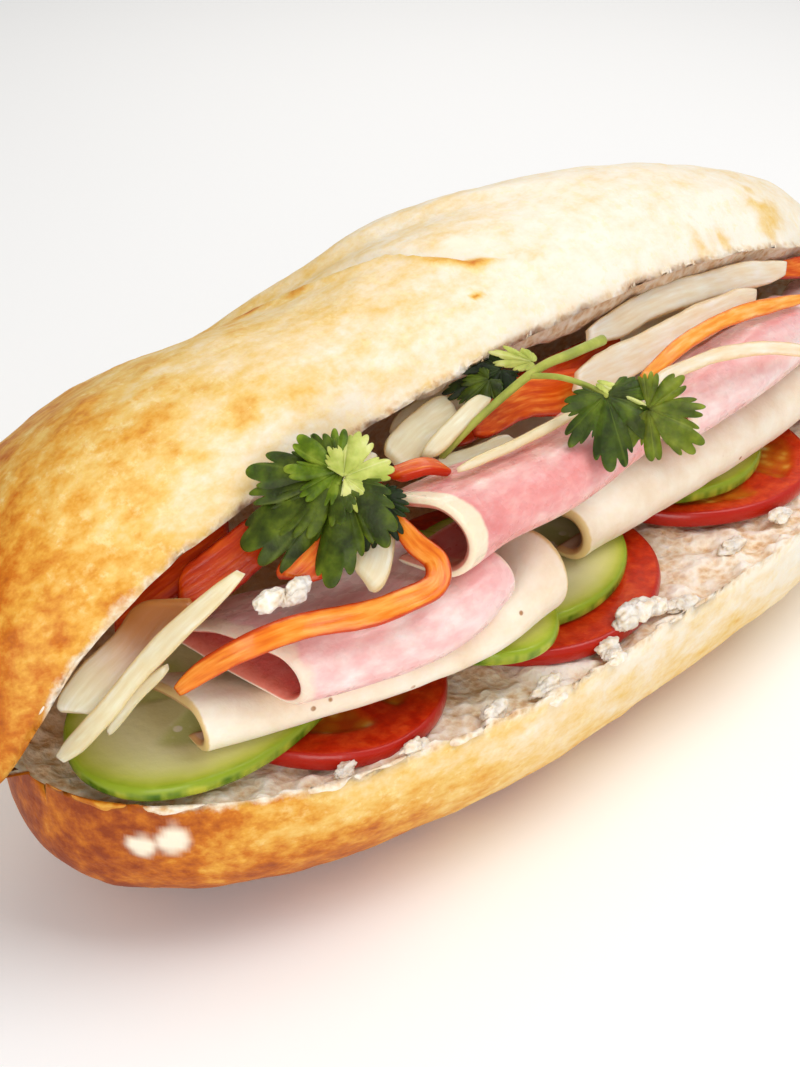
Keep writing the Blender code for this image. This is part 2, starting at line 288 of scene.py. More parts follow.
def ring_faces(rows, sides, start=0):
    """Quads between closed rings of points, and a flat cap on the first and last ring."""
    index = start + np.arange(rows * sides).reshape(rows, sides)
    a, b = index[:-1], index[1:]
    quads = np.stack([a, b, np.roll(b, -1, 1), np.roll(a, -1, 1)], -1).reshape(-1, 4)
    return quads.tolist() + [index[0].tolist(), index[-1][::-1].tolist()]


def give(mesh, name, values):
    """A value for each point of a mesh, which a material reads by name."""
    mesh.attributes.new(name, "FLOAT", "POINT").data.foreach_set(
        "value", np.asarray(values, np.float32).ravel()
    )


# Stations crowd towards the tips, and shares crowd towards the lips, where the cut shows.
stations = 0.9992 * np.sin(np.linspace(-1, 1, 372) * math.pi / 2 * 0.985) / math.sin(math.pi / 2 * 0.985)
arc = np.linspace(0, 1, 55)[:-1]
lid_arc = np.linspace(0, 1, 82)[:-1]
lid_in = np.linspace(0, 1, 28)[:-1] ** 1.5
low_out = np.linspace(1, 0, 96)[:-1] ** 1.35
t_grid = stations[:, None]
spans = [("lower_crust", arc), ("lid_crust", lid_arc), ("lid_face", lid_in), ("lower_face", low_out)]
skin = np.concatenate([roll_points(t_grid + 0 * s, s + 0 * t_grid, n) for n, s in spans], axis=1)
kind = np.concatenate([np.full(len(s), i) for i, (_, s) in enumerate(spans)])
share = np.concatenate([s for _, s in spans])
ring = np.concatenate([skin[:, -1:], skin, skin[:, :1]], axis=1)
out = -grid_normals(ring)[:, 1:-1]
centre = np.array([0, 0, 36])
if np.sum(out[:, kind == 1] * (skin[:, kind == 1] - centre)) < 0:
    out = -out
taper = ease(1 - np.abs(stations), 0, 0.04)[:, None]
cut = (kind >= 2)[None, :] + 0 * t_grid
crust = 1 - cut
# Crust: broad swellings, blisters and fine wrinkles, and the ear that the slash raised: a
# browned crest with a pale groove behind it.
x, z = skin[..., 0], skin[..., 2]
stretch = skin * (0.7, 1, 1)
relief = 0.55 * lumps(skin, 26, 1) + 0.34 * lumps(stretch, 9, 2) + 0.16 * lumps(stretch, 3.8, 3)
blister = np.clip(0.42 - pores(stretch, 6.5, 4), 0, 1) * ease(lumps(skin, 30, 5), -0.1, 0.5)
relief = relief + 0.9 * blister + 0.07 * lumps(skin, 1.7, 6)
ear_line = np.interp(
    x,
    (-58, -43, -38, -33, -29, -24, -21, -16, -10, 0),
    (0.5, 0.57, 0.59, 0.64, 0.67, 0.705, 0.77, 0.835, 0.865, 0.88),
)
from_ear = share[None, :] - ear_line + 0.006 * lumps(skin, 5, 10)
slashed = (kind == 1)[None, :] * ease(x, -52, -40) * (1 - ease(x, -16, 0))
crest = slashed * np.exp(-((from_ear / 0.014) ** 2))
groove = slashed * np.exp(-(((from_ear + 0.055) / 0.03) ** 2))
relief = relief + 0.9 * crest - 1.1 * groove
# Crumb: torn round holes between soft walls, and soft lumps where it was pulled apart.
holes = pores(skin * (0.8, 1, 1), 4.2, 7)
crumb = 0.6 * ease(holes, 0.1, 0.6) - 0.5 + 0.7 * lumps(skin, 6, 9) + 0.25 * lumps(skin, 2.4, 11)
pulled = ease(lumps(skin, 2.4, 12) + 0.5 * lumps(skin, 5, 13), 0.0, 0.7)
tuft = (kind == 3)[None, :] * pulled * ease(share[None, :], 0.3, 0.02)
move = (crust * relief + cut * (crumb + 0.9 * tuft)) * taper
move = move * np.where(kind == 0, ease(skin[..., 2], 0.3, 6), 1)
skin_out = skin + out * move[..., None]
skin_out[..., 2] = np.maximum(skin_out[..., 2], 0)
rows, around = skin_out.shape[:2]
roll_mesh = closed_mesh("bread_roll", skin_out, ring_faces(rows, around))


def turned_outward(mesh):
    """Turns every face over if the mesh encloses a negative volume: the sum over its
    triangles of a . (b x c) / 6."""
    mesh.calc_loop_triangles()
    corners = np.zeros(len(mesh.vertices) * 3, np.float32)
    mesh.vertices.foreach_get("co", corners)
    triples = np.zeros(len(mesh.loop_triangles) * 3, np.int32)
    mesh.loop_triangles.foreach_get("vertices", triples)
    a, b, c = np.moveaxis(corners.reshape(-1, 3)[triples.reshape(-1, 3)], 1, 0)
    if np.sum(a * np.cross(b, c)) < 0:
        mesh.flip_normals()
    return mesh


turned_outward(roll_mesh)

# How far each point is, round the section, from the front lips: plus on crust, minus on crumb.
step = np.linalg.norm(np.diff(np.concatenate([skin, skin[:, :1]], 1), axis=1), axis=-1)
travelled = np.concatenate([np.zeros((rows, 1)), np.cumsum(step, 1)], 1)
whole = travelled[:, -1:]
travelled = travelled[:, :-1]
lid_lip = np.argmax(kind == 2)
to_lower_lip = np.minimum(travelled, whole - travelled)
to_lid_lip = np.abs(travelled - travelled[:, lid_lip : lid_lip + 1])
edge = np.minimum(to_lower_lip, to_lid_lip) * np.where(cut > 0, -1, 1)
edge = edge + 6 * ease(np.abs(stations), 0.93, 0.985)[:, None]
give(roll_mesh, "edge", edge)

# How hard the crust has baked, with painted light and shade in the same values: most at
# the left tip, under the roll and on the crown, least towards the right and beside the lips.
# The run from the dark left tip to the pale right end is partly browning and partly painted
# light and shade.
lid_bake = np.interp(
    x, (-112, -95, -75, -40, 0, 40, 75, 95, 108), (0.76, 0.6, 0.49, 0.36, 0.23, 0.15, 0.2, 0.34, 0.6)
)
crown = np.exp(-(((share[None, :] - 0.42) / 0.2) ** 2))
lid_bake = lid_bake + 0.12 * crown - 0.16 * ease(share[None, :], 0.72, 0.98) * ease(x, -100, -60)
lid_bake = lid_bake + 0.42 * crest * ease(lumps(skin, 5, 23), -0.4, 0.4) - 0.16 * groove
lower_bake = np.interp(
    x,
    (-108, -100, -94, -88, -77, -62, -45, -10, 20, 75, 108),
    (0.93, 0.84, 0.77, 0.8, 0.76, 0.7, 0.57, 0.46, 0.4, 0.3, 0.5),
)
lower_bake = lower_bake - 0.28 * ease(z, 12, 30) * ease(x, -104, -80)
# Darker along the bottom edge: browning, and painted shade where the roll meets the table.
lower_bake = lower_bake + 0.4 * (1 - ease(z, 0, 6)) + 0.1 * (1 - ease(z, 4, 16))
lower_bake = lower_bake + 0.08 * lumps(skin * (1, 0.25, 0.25), 8, 21)
bake = np.where(kind[None, :] == 0, lower_bake, lid_bake)
# The flour-pale scuffs, the spots that browned more, and the brown fleck on each blister.
pale = 0 * x
for spot, size in (
    ((-103, -20, 50), 3.2), ((-101, -16, 23.5), 3.0), ((-98, -19.5, 24.5), 3.4), ((-12, 3, 84), 3.0),
):
    gap = np.linalg.norm(skin + 1.5 * lumps(skin, 3, 22)[..., None] - spot, axis=-1)
    pale = np.maximum(pale, 1 - ease(gap, 0.5 * size, size))
for spot, size, more in (
    ((-20, -9, 79.7), 1.5, 0.5), ((36, -13.4, 73), 5, 0.3), ((43, -13, 72.3), 4, 0.4),
    ((61, -10, 70.7), 8, 0.3), ((-68, -7, 75.8), 3, 0.14), ((-59.5, -8.6, 76.3), 3, 0.12),
):
    gap = np.linalg.norm(skin + 2.5 * lumps(skin, 3, 24)[..., None] - spot, axis=-1)
    bake = bake + more * (1 - ease(gap, 0.4 * size, size))
bake = bake + 0.3 * blister
give(roll_mesh, "bake", np.clip(bake, 0, 1))
pale = np.maximum(pale, 0.55 * groove * ease(x, -60, -40))
give(roll_mesh, "pale", pale)
give(roll_mesh, "tuft", tuft + 0 * x)

# Crust and crumb: browned starch over a matt, porous white crumb. The crust is satin where
# it is smooth and dull where it is floury.
bread, tree, shader = new_material(
    "baked_crust_and_crumb", (0.12, 4, 2.4, 1.2), IOR=1.45, Specular_IOR_Level=0.3
)
coords = add(tree, "TexCoord", "Object")
along = add(tree, "Mapping", "Vector", Vector=coords, Scale=(0.6, 1.0, 1.0))
EASED = {"interpolation_type": "SMOOTHSTEP"}
COLOURS = {"data_type": "RGBA"}
TIMES = {"operation": "MULTIPLY"}


def shifted(tree, value, coords, size, by, detail=2.0, rough=0.5):
    """Value + by (n - 1/2), where n is noise of that grain size in mm."""
    noise = add(
        tree, "TexNoise", "Fac", Vector=coords, Scale=1 / (size * MM), Detail=detail, Roughness=rough
    )
    lowered = add(tree, "Math", "Value", {"operation": "SUBTRACT"}, i0=value, i1=by / 2)
    return add(tree, "Math", "Value", {"operation": "MULTIPLY_ADD"}, i0=noise, i1=by, i2=lowered)


def weighed(tree, first, first_share, second, second_share):
    """The sum of two patterns, each times its share."""
    rest = add(tree, "Math", "Value", TIMES, i0=second, i1=second_share)
    return add(
        tree, "Math", "Value", {"operation": "MULTIPLY_ADD"}, i0=first, i1=first_share, i2=rest
    )


def surface(tree, shader, colour, height, strength, depth):
    """Gives the shader its colour, and a relief of height that is depth mm deep."""
    relief = add(tree, "Bump", "Normal", Height=height, Strength=strength, Distance=depth * MM)
    join(shader, Base_Color=colour, Normal=relief)


# The crust's colour follows the bake values, which carry painted light and shade as well as browning.
baked = add(tree, "Attribute", "Fac", {"attribute_name": "bake"})
baked = shifted(tree, baked, along, 13, 0.4)
baked = shifted(tree, baked, along, 3.6, 0.75, 4.0, 0.66)
baked = shifted(tree, baked, coords, 1.3, 0.14)
browning = [
    (0.0, "F1EADA"), (0.18, "EFE1C8"), (0.34, "EBD09C"), (0.5, "E6BE68"),
    (0.64, "DC9E38"), (0.78, "C46E10"), (0.9, "A65008"), (1.0, "8A3804"),
]
crust_colour = add(tree, "ValToRGB", "Color", {"stops": browning}, Fac=baked)
dust = add(tree, "TexNoise", "Fac", Vector=coords, Scale=1 / (2.4 * MM), Detail=5.0, Roughness=0.72)
dust = add(tree, "MapRange", "Result", EASED, Value=dust, From_Min=0.52, From_Max=0.66, To_Max=0.45)
unbrowned = add(tree, "MapRange", "Result", EASED, Value=baked, From_Min=0.7, From_Max=0.5)
flour = add(tree, "Math", "Value", TIMES, i0=dust, i1=unbrowned)
crust_colour = add(tree, "Mix", 2, COLOURS, i0=flour, i6=crust_colour, i7="F2DFA8")
scuffed = add(tree, "Attribute", "Fac", {"attribute_name": "pale"})
crust_colour = add(tree, "Mix", 2, COLOURS, i0=scuffed, i6=crust_colour, i7="F3E8D2")
# The crumb is creamiest by the lips, and turns tan deep inside the mouth: painted shade.
cells = add(tree, "TexVoronoi", "Distance", Vector=coords, Scale=1 / (1.5 * MM))
crumb_tone = add(tree, "TexNoise", "Fac", Vector=coords, Scale=1 / (3.2 * MM), Detail=4.0, Roughness=0.7)
crumb_tone = weighed(tree, crumb_tone, 0.75, cells, 0.28)
cream = [(0.3, "CB9C70"), (0.42, "E4C49C"), (0.55, "F3E2C8"), (0.7, "FBF3E6")]
crumb_colour = add(tree, "ValToRGB", "Color", {"stops": cream}, Fac=crumb_tone)
from_lip = add(tree, "Attribute", "Fac", {"attribute_name": "edge"})
inside = shifted(tree, from_lip, coords, 8, 12.0)
inside = add(
    tree, "MapRange", "Result", EASED, Value=inside, From_Min=-16.0, From_Max=-34.0, To_Max=0.55
)
crumb_colour = add(tree, "Mix", 2, COLOURS, i0=inside, i6=crumb_colour, i7="D8A06A")
tufted = add(tree, "Attribute", "Fac", {"attribute_name": "tuft"})
crumb_colour = add(tree, "Mix", 2, COLOURS, i0=tufted, i6=crumb_colour, i7="FBF5EA")
is_crust = shifted(tree, from_lip, coords, 3.4, 5.0, 4.0, 0.65)
is_crust = add(tree, "MapRange", "Result", EASED, Value=is_crust, From_Min=-0.2, From_Max=1.8)
bread_colour = add(tree, "Mix", 2, COLOURS, i0=is_crust, i6=crumb_colour, i7=crust_colour)
join(shader, Roughness=add(tree, "MapRange", "Result", EASED, Value=is_crust, To_Min=0.95, To_Max=0.5))
crust_height = add(tree, "TexNoise", "Fac", Vector=coords, Scale=1 / (2.6 * MM), Detail=4.0, Roughness=0.6)
wrinkles = add(tree, "TexNoise", "Fac", Vector=coords, Scale=1 / (0.8 * MM))
crust_height = weighed(tree, crust_height, 0.5, wrinkles, 0.1)
fine_pores = add(tree, "TexNoise", "Fac", Vector=coords, Scale=1 / (1.1 * MM), Detail=3.0)
crumb_height = weighed(tree, cells, 0.5, fine_pores, 0.7)
height = add(tree, "Mix", 0, {"data_type": "FLOAT"}, i0=is_crust, i2=crumb_height, i3=crust_height)
surface(tree, shader, bread_colour, height, 0.7, 0.7)
place_piece("bread_roll_baked", roll_mesh, bread, ["bread_roll"])

# ---------------------------------------------------------------- tomato slices
# Rounds cut across a ripe tomato: a thin tight skin, a firm red wall, and pockets of
# orange jelly round the seeds. Knife-cut, wet and glossy.
def round_slice(name, centre, radii, lean, thickness, sink, finish, sides=170):
    """A cut round. Its rings run from the middle of the top, round the rim's half oval, to
    the middle of the underside, and each ring is an oval whose radius is 1 + 0.02 sin(3a)
    of its own. Sink(share, turn) lowers the top face and gives the material's pattern."""
    turn = np.linspace(0, 2 * math.pi, sides, endpoint=False)
    flat = np.linspace(0.03, 0.97, 34)
    bend = np.linspace(math.pi / 2, -math.pi / 2, 9)[1:-1]
    share = np.concatenate([flat, 0.97 + 0.03 * np.cos(bend), flat[::-1]])[:, None]
    height = np.concatenate([np.ones(34), 0.5 + 0.5 * np.sin(bend), np.zeros(34)])[:, None]
    lobes = 1 + 0.02 * np.sin(3 * turn + centre[0])
    lowered, pattern = sink(share + 0 * turn, turn + 0 * share)
    x = radii[0] * share * lobes * np.cos(turn)
    y = radii[1] * share * lobes * np.sin(turn)
    z = height * thickness - lowered * (height > 0.5) + lean * x
    points = np.stack([x, y, z], -1) + centre
    points[..., 2] += 0.12 * lumps(points, 7, 31) * ease(share, 0, 0.2)
    mesh = turned_outward(closed_mesh(name, points, ring_faces(len(share), sides)))
    give(mesh, "share", share + 0 * turn)
    give(mesh, "pattern", pattern)
    give(mesh, "level", height + 0 * turn)
    place_piece(name + "_cut", mesh, finish, [name])


def tomato_face(share, turn, wall=0.3):
    """Six jelly pockets between the core and the wall, sunk below the cut. Wall is the
    wall's part of the radius."""
    wedge = np.abs(np.cos(3 * turn + 0.35 * np.sin(2 * turn)))
    pocket = ease(wedge, 0.3, 0.6) * ease(share, 0.2, 0.32) * (1 - ease(share, 0.96 - wall, 1.04 - wall))
    return 0.55 * pocket, pocket


def thin_walled_face(share, turn):
    """The same for a tomato whose wall is 0.16 of its radius."""
    return tomato_face(share, turn, 0.16)


flesh, tree, shader = new_material(
    "ripe_tomato", (0.3, 5, 1.2, 0.6), Roughness=0.3, IOR=1.37, Coat_Weight=0.2, Coat_Roughness=0.2
)
coords = add(tree, "TexCoord", "Object")
share_value = add(tree, "Attribute", "Fac", {"attribute_name": "share"})
pocket = add(tree, "Attribute", "Fac", {"attribute_name": "pattern"})
grain = add(tree, "TexNoise", "Fac", Vector=coords, Scale=1 / (2.2 * MM), Detail=3.0, Roughness=0.6)
wall_tones = [(0.3, "AE1A04"), (0.5, "C62C08"), (0.7, "D84C1A")]
wall_colour = add(tree, "ValToRGB", "Color", {"stops": wall_tones}, Fac=grain)
seeds = add(tree, "TexVoronoi", "Distance", Vector=coords, Scale=1 / (3.2 * MM), Randomness=0.8)
jelly_tones = [(0.14, "F2D68A"), (0.28, "E2A03C"), (0.42, "D07018"), (0.8, "C0480C")]
jelly_colour = add(tree, "ValToRGB", "Color", {"stops": jelly_tones}, Fac=seeds)
face_colour = add(tree, "Mix", 2, COLOURS, i0=pocket, i6=wall_colour, i7=jelly_colour)
is_skin = add(tree, "MapRange", "Result", EASED, Value=share_value, From_Min=0.955, From_Max=0.975)
face_colour = add(tree, "Mix", 2, COLOURS, i0=is_skin, i6=face_colour, i7="B01C08")
surface(tree, shader, face_colour, grain, 0.35, 0.5)

for name, centre, radii, face in (
    ("tomato_slice_1", (-62, -14, 29.1), (20.2, 20.2), tomato_face),
    ("tomato_slice_2", (-17, -16, 29.1), (25.2, 24.4), tomato_face),
    ("tomato_slice_3", (36, -11.5, 29.1), (24, 24), thin_walled_face),
    ("tomato_slice_4", (80, -8, 29.4), (18.5, 17), thin_walled_face),
):
    round_slice(name, centre, radii, 0, 3.0, face, flesh)

# ---------------------------------------------------------------- cucumber slices
# Rounds of a field cucumber in its skin: pale watery flesh, a ring of small soft seeds,
# and a thin bright green skin with darker stripes.
def cucumber_face(share, turn):
    """Three soft seed chambers, a little sunk, in the middle of the round."""
    chamber = ease(np.cos(3 * turn + 0.6), -0.35, 0.4) * ease(share, 0.06, 0.2)
    chamber = chamber * (1 - ease(share, 0.5, 0.62))
    return 0.18 * chamber, chamber


rind, tree, shader = new_material("fresh_cucumber", (0.45, 4, 4, 1.8), Roughness=0.24, IOR=1.36)
coords = add(tree, "TexCoord", "Object")
share_value = add(tree, "Attribute", "Fac", {"attribute_name": "share"})
chamber = add(tree, "Attribute", "Fac", {"attribute_name": "pattern"})
green_to_rim = [
    (0.3, "D6CF98"), (0.62, "E2DCA8"), (0.8, "D8D68C"), (0.9, "C4C860"), (0.95, "A9B63C"), (0.98, "8A9E24"),
]
outward = shifted(tree, share_value, coords, 5.0, 0.06)
flesh_colour = add(tree, "ValToRGB", "Color", {"stops": green_to_rim}, Fac=outward)
stripe = add(tree, "Mapping", "Vector", Vector=coords, Scale=(1.0, 1.0, 0.15))
stripe = add(tree, "TexNoise", "Fac", Vector=stripe, Scale=1 / (3.4 * MM))
skin_tones = [(0.36, "B4B63A"), (0.5, "86982A"), (0.62, "4E7014"), (0.74, "2C4E0C")]
skin_colour = add(tree, "ValToRGB", "Color", {"stops": skin_tones}, Fac=stripe)
flesh_colour = add(tree, "Mix", 2, COLOURS, i0=chamber, i6=flesh_colour, i7="C9CC84")
pips = add(tree, "TexVoronoi", "Distance", Vector=coords, Scale=1 / (2.6 * MM))
pips = add(tree, "MapRange", "Result", EASED, Value=pips, From_Min=0.34, From_Max=0.22)
pips = add(tree, "Math", "Value", TIMES, i0=pips, i1=chamber)
flesh_colour = add(tree, "Mix", 2, COLOURS, i0=pips, i6=flesh_colour, i7="F1EBCB")
# The skin starts at a ragged line just below the upper face.
ragged = add(tree, "TexNoise", "Fac", Vector=coords, Scale=1 / (4.0 * MM))
level = add(tree, "Attribute", "Fac", {"attribute_name": "level"})
below = add(tree, "Math", "Value", {"operation": "MULTIPLY_ADD"}, i0=ragged, i1=0.5, i2=level)
below = add(tree, "MapRange", "Result", EASED, Value=below, From_Min=1.05, From_Max=0.75)
is_skin = add(tree, "MapRange", "Result", EASED, Value=share_value, From_Min=0.966, From_Max=0.982)
is_skin = add(tree, "Math", "Value", TIMES, i0=is_skin, i1=below)
flesh_colour = add(tree, "Mix", 2, COLOURS, i0=is_skin, i6=flesh_colour, i7=skin_colour)
grain = add(tree, "TexNoise", "Fac", Vector=coords, Scale=1 / (1.4 * MM), Detail=3.0)
surface(tree, shader, flesh_colour, grain, 0.25, 0.4)

for name, centre, radii, lean in (
    ("cucumber_slice_1", (-79, -6.8, 32.4), (24, 18), 0.08),
    ("cucumber_slice_2", (-37.5, -16, 35.3), (15.5, 22.3), 0),
    ("cucumber_slice_3", (-18, -16.3, 32.4), (22, 17.6), 0),
    ("cucumber_slice_4", (32, -9, 32.4), (21, 19), 0),
    ("cucumber_slice_5", (76, -5, 32.8), (17, 16), 0),
):
    round_slice(name, centre, radii, lean, 2.5, cucumber_face, rind)

# ---------------------------------------------------------------- pork roll slices
# Steamed pork roll, machine-sliced under 2 mm thick and folded over: a fine, moist, cream
# paste with pepper specks, and a thin tan rim where its wrapper was.
def edged_shares(count, length, rim):
    """Shares from 0 to 1, with a few more close to each end, where the rim rounds over."""
    near = rim / length * np.array([0, 0.04, 0.15, 0.35, 0.65])
    return np.concatenate([near, np.linspace(rim / length, 1 - rim / length, count), 1 - near[::-1]])


def curve_through(points, shares):
    """A Catmull-Rom curve through the points, read at shares of its spans:
    p1 + u/2 (p2 - p0 + u (2 p0 - 5 p1 + 4 p2 - p3 + u (3 (p1 - p2) + p3 - p0)))."""
    points = np.array(points, float)
    knots = np.vstack([2 * points[:1] - points[1:2], points, 2 * points[-1:] - points[-2:-1]])
    place = np.clip(shares, 0, 1) * (len(points) - 1)
    k = np.minimum(place.astype(int), len(points) - 2)
    u = (place - k)[:, None]
    p0, p1, p2, p3 = knots[k], knots[k + 1], knots[k + 2], knots[k + 3]
    return p1 + 0.5 * u * (p2 - p0 + u * (2 * p0 - 5 * p1 + 4 * p2 - p3 + u * (3 * (p1 - p2) + p3 - p0)))


def unit(vectors):
    """Each vector over its own length."""
    return vectors / np.maximum(np.linalg.norm(vectors, axis=-1, keepdims=True), 1e-12)


def rounded_rim(shares, length, rim):
    """0 at both ends, rising on a quarter circle to 1 at a rim's distance from them."""
    inside = np.clip(np.minimum(shares, 1 - shares) * length / rim, 0, 1)
    return np.sqrt(np.clip(1 - (1 - inside) ** 2, 0, 1))


def sheet_mesh(name, middle, half, **values):
    """A closed thin piece: the grid middle, moved by half along its normals to one side and
    the other. Half is 0 along the border, where the two sides share their points. Values
    are grids that a material reads."""
    rows, columns = half.shape
    half = half.copy()
    half[[0, -1]] = 0
    half[:, [0, -1]] = 0
    offset = grid_normals(middle) * half[..., None]
    above = np.arange(rows * columns).reshape(rows, columns)
    below = above.copy()
    below[1:-1, 1:-1] = rows * columns + np.arange((rows - 2) * (columns - 2)).reshape(rows - 2, -1)
    points = np.concatenate([(middle + offset).reshape(-1, 3), (middle - offset)[1:-1, 1:-1].reshape(-1, 3)])

    def quads(index):
        return np.stack([index[:-1, :-1], index[1:, :-1], index[1:, 1:], index[:-1, 1:]], -1).reshape(-1, 4)

    faces = np.concatenate([quads(above), quads(below)[:, ::-1]]).tolist()
    mesh = turned_outward(closed_mesh(name, points, faces))
    for key, grid in values.items():
        grid = grid + 0 * half
        give(mesh, key, np.concatenate([grid.ravel(), grid[1:-1, 1:-1].ravel()]))
    give(mesh, "inner", np.concatenate([np.zeros(half.size), np.ones(half[1:-1, 1:-1].size)]))
    return mesh


def folded_slice(name, route, under, over, droop, thickness, slant, finish, seed, frill, fat=1.3):
    """A slice folded over along a route of x, y, z and the fold's radius. Its section runs
    in from the layer below, round a half circle and back along the layer above, and its
    surface is lifted by soft random waves that grow towards the free edges."""
    route = np.array(route, float)
    length = np.linalg.norm(np.diff(route[:, :3], axis=0), axis=1).sum()
    rim = 0.55 * thickness
    a = edged_shares(84, length, rim)
    stations = curve_through(route, a)
    roll = stations[:, 3:]
    way = unit(np.gradient(stations[:, :3], a, axis=0))
    back = unit(np.cross((0, 0, 1), way))
    lift = np.cross(way, back)
    middle_radius = roll - thickness / 2
    round_fold = math.pi * middle_radius.mean()
    width = under + round_fold + over
    b = edged_shares(76, width, rim)[None, :]
    first, second = under / width, (under + round_fold) / width
    low = np.clip(1 - b / first, 0, 1)
    bend = np.clip((b - first) / (second - first), 0, 1)
    high = np.clip((b - second) / (1 - second), 0, 1)
    turn = -math.pi / 2 - math.pi * bend
    inward = roll + middle_radius * np.cos(turn) + under * low + over * high
    upward = roll + middle_radius * np.sin(turn) + 0.1 * under * low - droop * high**1.5
    lean = np.linspace(-slant, 0, len(a))[:, None, None]
    middle = stations[:, None, :3] + upward[..., None] * lift[:, None]
    middle = middle + inward[..., None] * (back[:, None] + lean * way[:, None])
    wave = lumps(middle, 11, seed) + 0.5 * lumps(middle, 5, seed + 1)
    loose = 0.35 + ease(high, 0.2, 1) + 0.8 * ease(np.abs(2 * a[:, None] - 1), 0.75, 1)
    middle = middle + grid_normals(middle) * (frill * wave * loose)[..., None]
    half = thickness / 2 * rounded_rim(a, length, rim)[:, None] * rounded_rim(b, width, rim)
    half = half * (1 + 0.12 * lumps(middle, 4, seed + 2))
    from_end = np.minimum(a[:, None] * length, 99) + 0 * b
    border = np.minimum(np.minimum(a, 1 - a)[:, None] * length, np.minimum(b, 1 - b) * width)
    mesh = sheet_mesh(name, middle, half, border=border, from_end=from_end + 99 * (fat <= 0))
    place_piece(name + "_folded", mesh, finish, [name])


paste, tree, shader = new_material("steamed_pork_roll", (0.25, 4, 2, 1), Roughness=0.38, IOR=1.4)
coords = add(tree, "TexCoord", "Object")
tone = add(tree, "TexNoise", "Fac", Vector=coords, Scale=1 / (7 * MM), Detail=4.0, Roughness=0.6)
cream = [(0.3, "E9D2B6"), (0.5, "F1E0CA"), (0.7, "F6EBDA")]
meat_colour = add(tree, "ValToRGB", "Color", {"stops": cream}, Fac=tone)
specks = add(tree, "TexVoronoi", "Distance", Vector=coords, Scale=1 / (4.2 * MM))
specks = add(tree, "MapRange", "Result", EASED, Value=specks, From_Min=0.13, From_Max=0.07)
few = add(tree, "TexNoise", "Fac", Vector=coords, Scale=1 / (9 * MM), Detail=1.0)
few = add(tree, "MapRange", "Result", EASED, Value=few, From_Min=0.5, From_Max=0.6)
specks = add(tree, "Math", "Value", TIMES, i0=specks, i1=few)
meat_colour = add(tree, "Mix", 2, COLOURS, i0=specks, i6=meat_colour, i7="A87C54")
rim = add(tree, "Attribute", "Fac", {"attribute_name": "border"})
rim = shifted(tree, rim, coords, 1.5, 0.8)
rim = add(tree, "MapRange", "Result", EASED, Value=rim, From_Min=1.1, From_Max=0.5)
meat_colour = add(tree, "Mix", 2, COLOURS, i0=rim, i6=meat_colour, i7="DDBE84")
# Inside the fold the meat is painted a warm brown: painted shade in the fold's hollow.
tuck = add(tree, "Attribute", "Fac", {"attribute_name": "inner"})
tuck = add(tree, "Math", "Value", TIMES, i0=tuck, i1=0.65)
meat_colour = add(tree, "Mix", 2, COLOURS, i0=tuck, i6=meat_colour, i7="A8683C")
grain = add(tree, "TexNoise", "Fac", Vector=coords, Scale=1 / (1.1 * MM), Detail=3.0, Roughness=0.6)
surface(tree, shader, meat_colour, grain, 0.3, 0.4)

pork_1 = [(-90, -20, 34.3, 4.3), (-80, -25, 35.6, 3.4), (-62, -34, 37.9, 3.0), (-46, -37.5, 38.1, 3.6),
    (-31, -38, 38.1, 7)]
pork_2 = [(-13, -28, 35.2, 4.8), (10, -29, 35.6, 5.4), (34, -30, 36, 6), (60, -28, 36.5, 5.5)]
pork_3 = [(65, -27, 36, 4.5), (80, -22, 36.4, 4.5), (94, -15, 36.8, 3.5)]
folded_slice("pork_roll_slice_1", pork_1, 2, 15, 4, 1.8, 0.25, paste, 41, 0.2)
folded_slice("pork_roll_slice_2", pork_2, 2, 26, 0, 2.0, 0.1, paste, 44, 0.2)
folded_slice("pork_roll_slice_3", pork_3, 2, 18, 0, 1.8, 0, paste, 47, 0.2)

